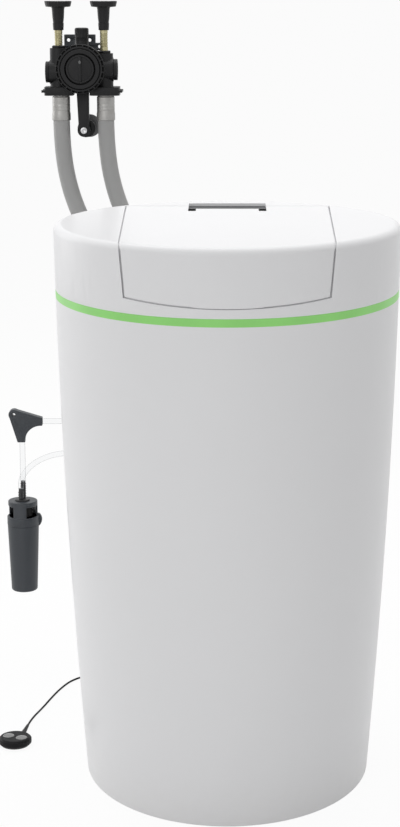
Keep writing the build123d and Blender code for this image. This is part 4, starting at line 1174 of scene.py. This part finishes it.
@dataclass
class FaceRing:
    """The ring round the bypass dial: two grooves, the outer one crossed by ribs."""

    centre: Pair = (-235.5, 1021.8)
    front: float = 358.0
    back: float = 370.0
    inner: float = 24.7
    groove: Pair = (31.2, 32.6)
    pocket: Pair = (35.4, 37.9)
    outer: float = 39.1
    step: float = 1.6
    depth: float = 9.0
    pocket_floor: float = 0.6
    ribs: int = 24
    rib: float = 1.1
    soft: float = 0.4
    rib_round: float = 0.3

    def make(self) -> None:
        """Turns the ring, sets a rib across the outer groove and copies it round."""
        (x, z), soft, step = self.centre, self.soft, self.step
        (first, last), (near, far) = self.groove, self.pocket
        top = self.back - self.front
        low, land = top - self.depth, top - step
        ring = Piece.turned("face_ring_turning", [
            (self.inner, 0.0), (self.inner, top - soft), (self.inner + soft, top), (first - soft, top),
            (first, top - soft), (first, low), (last, low), (last, land - soft), (last + soft, land),
            (near - soft, land), (near, land - soft), (near, self.pocket_floor), (far, self.pocket_floor),
            (far, land - step - soft), (far + soft, land - step), (self.outer - soft, land - step),
            (self.outer, land - step - soft), (self.outer, 0.0)], (x, self.back, z), Way.FRONT, 144, ring=True)
        rib = Piece.slab("face_rib", (x + near - soft, self.front + step + soft, z - self.rib),
                         (x + far + soft, self.back - soft, z + self.rib), self.rib_round, 2)
        hub, out = (Matrix.Translation(metres((side * x, 0.0, side * z))) for side in (1, -1))
        ribs = [rib.again(hub @ Matrix.Rotation(TURN * (index + 0.5) / self.ribs, 4, "Y") @ out)
                for index in range(self.ribs)]
        bpy.data.objects.remove(rib.thing)
        Piece.joined("face_ring_turning", ring, *ribs).smooth().place("block_black", "block_face_ring")


@dataclass
class ConnectionBlock:
    """The black block on the wall: body, castellated ring, threads, packing nuts and top cap."""

    axis_y: float = 400.0
    columns: Pair = (-272.0, -199.0)
    column_tops: Pair = (1053.5, 1045.3)
    port_ends: Pair = (-293.5, -177.5)
    port_levels: Pair = (1015.5, 1019.3)
    port_radius: float = 16.6
    port_length: float = 6.3
    port_turns: int = 3
    cap_axis: Pair = (-235.5, 412.0)
    cap_radius: float = 11.3
    cap_low: float = 1066.0
    cap_share: float = 0.886
    cap_flutes: int = 16
    cap_flute_depth: float = 0.045

    def thread(self, side: str, end: float, level: float, way: Way) -> None:
        """Cuts an outside thread round a port's mouth.

        Args:
            side: The port's side.
            end: X of the port's end.
            level: Z of its axis.
            way: Where the port points.
        """
        crest, root, bore = self.port_radius + 0.5, self.port_radius + 0.05, self.port_radius - 0.6
        profile = [(bore, 0.0)]
        for index in range(self.port_turns):
            start = 0.2 + index * 2.0
            profile += [(root, start), (crest, start + 0.8), (crest, start + 1.1), (root, start + 1.9)]
        profile.append((bore, self.port_length))
        back = end - way.value[0] * self.port_length
        thread = Piece.turned(side + "_port_thread", profile, (back, self.axis_y, level), way, ring=True)
        thread.smooth().place("block_black")

    def packing_nut(self, side: str, x: float, top: float) -> None:
        """Turns the hexagon nut that packs a spindle, and chamfers it.

        Args:
            side: The spindle's side.
            x: X of the column.
            top: Z of the column's top.
        """
        profile = [(8.0, 0.0), (11.8, 0.0), (11.8, 3.4), (10.4, 4.2), (8.0, 4.2)]
        nut = Piece.turned(side + "_packing_nut", profile, (x, self.axis_y, top), steps=6, ring=True)
        nut.rounded(0.3).smooth().place("block_black")

    def top_cap(self) -> None:
        """Turns the cap over the block's test port, with its grip."""
        radius, low = self.cap_radius, self.cap_low
        profile = [
            (radius - 0.6, 0.0), (radius, 0.6), (radius, 3.0), (radius - 0.8, 3.4), (radius - 0.8, 4.2),
            (radius, 4.6), (radius, 6.0), (radius, 12.0), (radius, 18.0), (radius, 19.2), (radius - 0.5, 20.6),
            (radius - 1.6, 21.6), (radius - 3.4, 22.0), (radius - 4.0, 21.6), (1.0, 21.6)]
        cap = Piece.turned("top_cap_turning", [(reach, height * self.cap_share) for reach, height in profile],
                           (*self.cap_axis, low), steps=96)
        cap.fluted(self.cap_axis, self.cap_flutes, self.cap_flute_depth, low + 4.5, low + 16.5, radius - 0.2)
        cap.smooth().place("block_black", "block_top_cap")

    def make(self) -> None:
        """Makes the block."""
        Piece.softened("block_body", "block_black", 0.4)
        FaceRing().make()
        Piece.softened("block_wall_plate", "mount_slate", 0.8)
        Piece.softened("flange_clips", "block_black", 0.4)
        for side, x, top, end, level, way in zip(("inlet", "outlet"), self.columns, self.column_tops,
                                                 self.port_ends, self.port_levels, (Way.LEFT, Way.RIGHT)):
            self.thread(side, end, level, way)
            self.packing_nut(side, x, top)
            HandWheel(side, (x, self.axis_y)).make()
            Spindle(side, (x, self.axis_y)).make()
        self.top_cap()
        BypassDial().make()


@dataclass
class SupportArm:
    """The black arm below the block with its hexagon screw and the grey foot on the wall."""

    def make(self) -> None:
        """Makes the arm."""
        Piece.softened("support_arm", "block_black", 1.0, 3)
        Piece.softened("support_arm_screw", "pin_steel", 0.3)
        Piece.softened("wall_foot", "elbow_grey", 1.2, 3)


# Hose ends


@dataclass
class Ferrules:
    """Crimped steel ferrules at both ends of the grey hoses, and the elbows with their union nuts."""

    tops: Pair = (-269.5, -197.3)
    top_y: float = 400.0
    top_low: float = 938.0
    top_length: float = 40.5
    top_radius: float = 14.4
    feet: Pair = (-150.0, -78.0)
    foot_y: float = 330.0
    foot_low: float = 500.0
    foot_length: float = 40.0
    foot_radius: float = 16.5
    nut_flutes: int = 16
    nut_flute_depth: float = 0.05
    crimps: int = 3
    crimp_low: float = 15.0
    crimp_pitch: float = 5.2

    def ferrule(self, name: str, base: Point, radius: float, length: float, way: Way) -> Piece:
        """Turns one ferrule: a rolled mouth over the hose, faint crimps and a plain neck.

        Args:
            name: The piece's name.
            base: Middle of its mouth.
            radius: Its plain radius.
            length: Its length.
            way: From the mouth to the neck.

        Returns:
            The piece.
        """
        bulge = radius + 0.6
        profile = [(radius - 0.8, 0.0), (bulge - 0.2, 0.6), (bulge, 1.6), (bulge, 11.0), (radius, 13.5)]
        for index in range(self.crimps):
            start = self.crimp_low + index * self.crimp_pitch
            profile += [(radius, start), (radius - 0.2, start + 0.6), (radius - 0.2, start + 1.2),
                        (radius, start + 1.8)]
        profile += [(radius, length - 3.0), (radius - 1.2, length - 1.6), (radius - 1.2, length)]
        return Piece.turned(name, profile, base, way).smooth()

    def make(self) -> None:
        """Makes the four ferrules and the elbows with their union nuts."""
        for level, columns, y, low, radius, length, way in (
                ("upper", self.tops, self.top_y, self.top_low, self.top_radius, self.top_length, Way.UP),
                ("lower", self.feet, self.foot_y, self.foot_low + self.foot_length, self.foot_radius,
                 self.foot_length, Way.DOWN)):
            pair = [self.ferrule(level + "_crimp", (x, y, low), radius, length, way) for x in columns]
            Piece.joined(level + "_crimps", *pair).place("ferrule_steel", level + "_ferrules")
        for side, x in zip(("inlet", "outlet"), self.feet):
            Piece.softened(side + "_elbow", "elbow_grey", 0.8)
            nut = Piece.turned(side + "_elbow_nut", [
                (14.6, -15.0), (17.2, -15.0), (18.2, -14.2), (18.2, -1.2), (17.2, -0.4), (14.6, -0.4)],
                (x, self.foot_y, self.foot_low), steps=96, ring=True)
            nut.fluted((x, self.foot_y), self.nut_flutes, self.nut_flute_depth, self.foot_low - 14.5,
                       self.foot_low - 0.9, 17.8)
            nut.smooth().place("elbow_grey")


# Drain adaptor and its bracket


@dataclass
class DrainAdaptor:
    """The waste pipe adaptor: tapered tube, windowed head, twin ringed barbs, and the hose bracket."""

    barbs: Sequence[Point] = ((-349.3, 394.0, 320.5), (-346.5, 406.0, 331.0))
    barb_radius: float = 4.3
    tooth: float = 4.2
    plinth: Point = (-347.9, 400.0, 298.5)
    plinth_height: float = 2.5
    tail: float = 281.0
    # Where the inner sleeve stands, and its height. Its near-black finish is painted shade for the inside of the
    # head's windows.
    guard: Point = (-347.2, 400.0, 271.9)
    shade_sleeve_height: float = 18.0

    def barb(self, x: float, y: float, top: float) -> Piece:
        """Turns a barb with saw-tooth rings.

        Args:
            x: X of its axis.
            y: Y of its axis.
            top: Z of its tip.

        Returns:
            The piece.
        """
        radius = self.barb_radius
        foot, height = self.plinth[2] + self.plinth_height - self.tail, top - self.tail
        profile = [(radius - 0.3, 0.0), (radius, 0.4), (radius, foot), (radius - 0.4, foot + 0.2)]
        ring = foot + 3.0
        while ring + self.tooth < height:
            profile += [(radius - 0.4, ring), (radius + 0.5, ring + 0.2), (radius + 0.5, ring + 0.7),
                        (radius - 0.4, ring + 3.4)]
            ring += self.tooth
        profile += [(radius - 0.4, height - 0.6), (radius - 1.0, height)]
        return Piece.turned("barb", profile, (x, y, self.tail), steps=40).smooth()

    def make(self) -> None:
        """Makes the adaptor and the bracket."""
        Piece.softened("drain_tube", "mount_slate", 1.0, 3)
        Piece.softened("drain_head", "mount_slate", 1.3, 3)
        high, rise = self.shade_sleeve_height, self.plinth_height
        # An inner sleeve in the drain head, finished near black. Part of it is the sleeve itself, and its black
        # is painted shade for the dark inside of the head's windows.
        Piece.turned("spray_guard", [(15.2, 0.0), (15.8, 0.0), (16.4, 0.6), (16.4, high), (15.2, high)],
                     self.guard, ring=True).smooth().place("barb_black", finish="painted_shade_black")
        Piece.softened("hose_bracket", "mount_slate", 0.8, 3)
        plinth = Piece.turned("barb_plinth", [(12.5, 0.0), (12.5, 1.6), (12.1, 2.2), (11.5, rise), (4.0, rise)],
                              self.plinth).smooth()
        pair = [self.barb(*place) for place in self.barbs]
        Piece.joined("twin_barbs", plinth, *pair).place("barb_black", "drain_barbs")


# Floor sensor


@dataclass
class FloorSensor:
    """The flat round water sensor with its two raised contacts."""

    contacts: Sequence[Pair] = ((-340.4, 51.3), (-319.6, 43.0))
    level: float = 13.0
    radius: float = 8.8

    def make(self) -> None:
        """Makes the sensor and its contacts, each with a raised rim and a dished middle."""
        Piece.softened("sensor_body", "sensor_dark", 0.8, 3)
        radius = self.radius
        profile = [(radius, 0.0), (radius, 0.9), (radius - 0.4, 1.3), (radius - 1.4, 1.4), (radius - 2.0, 1.2),
                   (radius - 2.6, 0.9), (radius - 5.0, 0.8), (1.2, 1.0), (0.6, 1.1)]
        pair = [Piece.turned("contact", profile, (*place, self.level), steps=56).smooth()
                for place in self.contacts]
        Piece.joined("sensor_contact_pair", *pair).place("contact_steel", "sensor_contacts")


# Cabinet


@dataclass
class Cabinet:
    """The cabinet's hood and lid with eased seams, service cover, glands and console."""

    lip_reach: float = 0.9
    lip_drop: float = 1.1
    side_top: float = 815.0
    side_reach: float = 90.0
    side_ease: float = 0.5
    # The display's glass is laid as a pale slab at these corners: its pale colour is a painted reflection of the
    # white room.
    panel: tuple[Point, Point] = ((-57.5, 203.0, 817.8), (57.5, 220.0, 818.7))
    panel_round: float = 0.3

    def ease(self, lid: Thing) -> None:
        """Lowers the lid's lip and draws its sides in, so that its seams show.

        Args:
            lid: The lid.
        """
        reach, drop, top, wide, ease = metres(
            (self.lip_reach, self.lip_drop, self.side_top, self.side_reach, self.side_ease))
        low = min(corner.co.z for corner in lid.data.vertices)
        for corner in lid.data.vertices:
            if corner.co.z < low + reach:
                corner.co.z -= drop
            if corner.co.z < top and abs(corner.co.x) > wide:
                corner.co.x -= math.copysign(ease, corner.co.x)

    def make(self) -> None:
        """Makes the hood, the lid and the trims."""
        Piece.softened("hood", "shell_white", 0.5)
        self.ease(Piece.softened("salt_lid", "shell_white", 0.5, body="lid").thing)
        # The display's glass as a pale slab: its pale colour is a painted reflection of the white room, not the
        # glass's own dark colour.
        Piece.slab("display_panel", *self.panel, self.panel_round).smooth().place(
            "display_glass", finish="glass_painted_reflection")
        Piece.softened("rear_service_cover", "cover_grey", 0.6)
        Piece.softened("cable_glands", "cover_grey", 0.5)
        Piece.softened("display_console", "display_black", 0.4)


# Making


def main() -> None:
    """Builds the whole scene."""
    logging.basicConfig(level=logging.INFO, format="%(message)s")
    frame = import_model()
    Piece.nodes = frame["nodes"]
    studio = Studio()
    studio.camera()
    Piece.palette = Palette()
    Lines().make()
    Piece.palette.dress(frame["record"], frame["nodes"])
    for assembly in (Cabinet(), ConnectionBlock(), SupportArm(), Ferrules(), DrainAdaptor(), FloorSensor()):
        log.info("Making %s", type(assembly).__name__)
        assembly.make()
    studio.floor()
    studio.surroundings()
    studio.lamps()


if __name__ == "__main__":
    main()
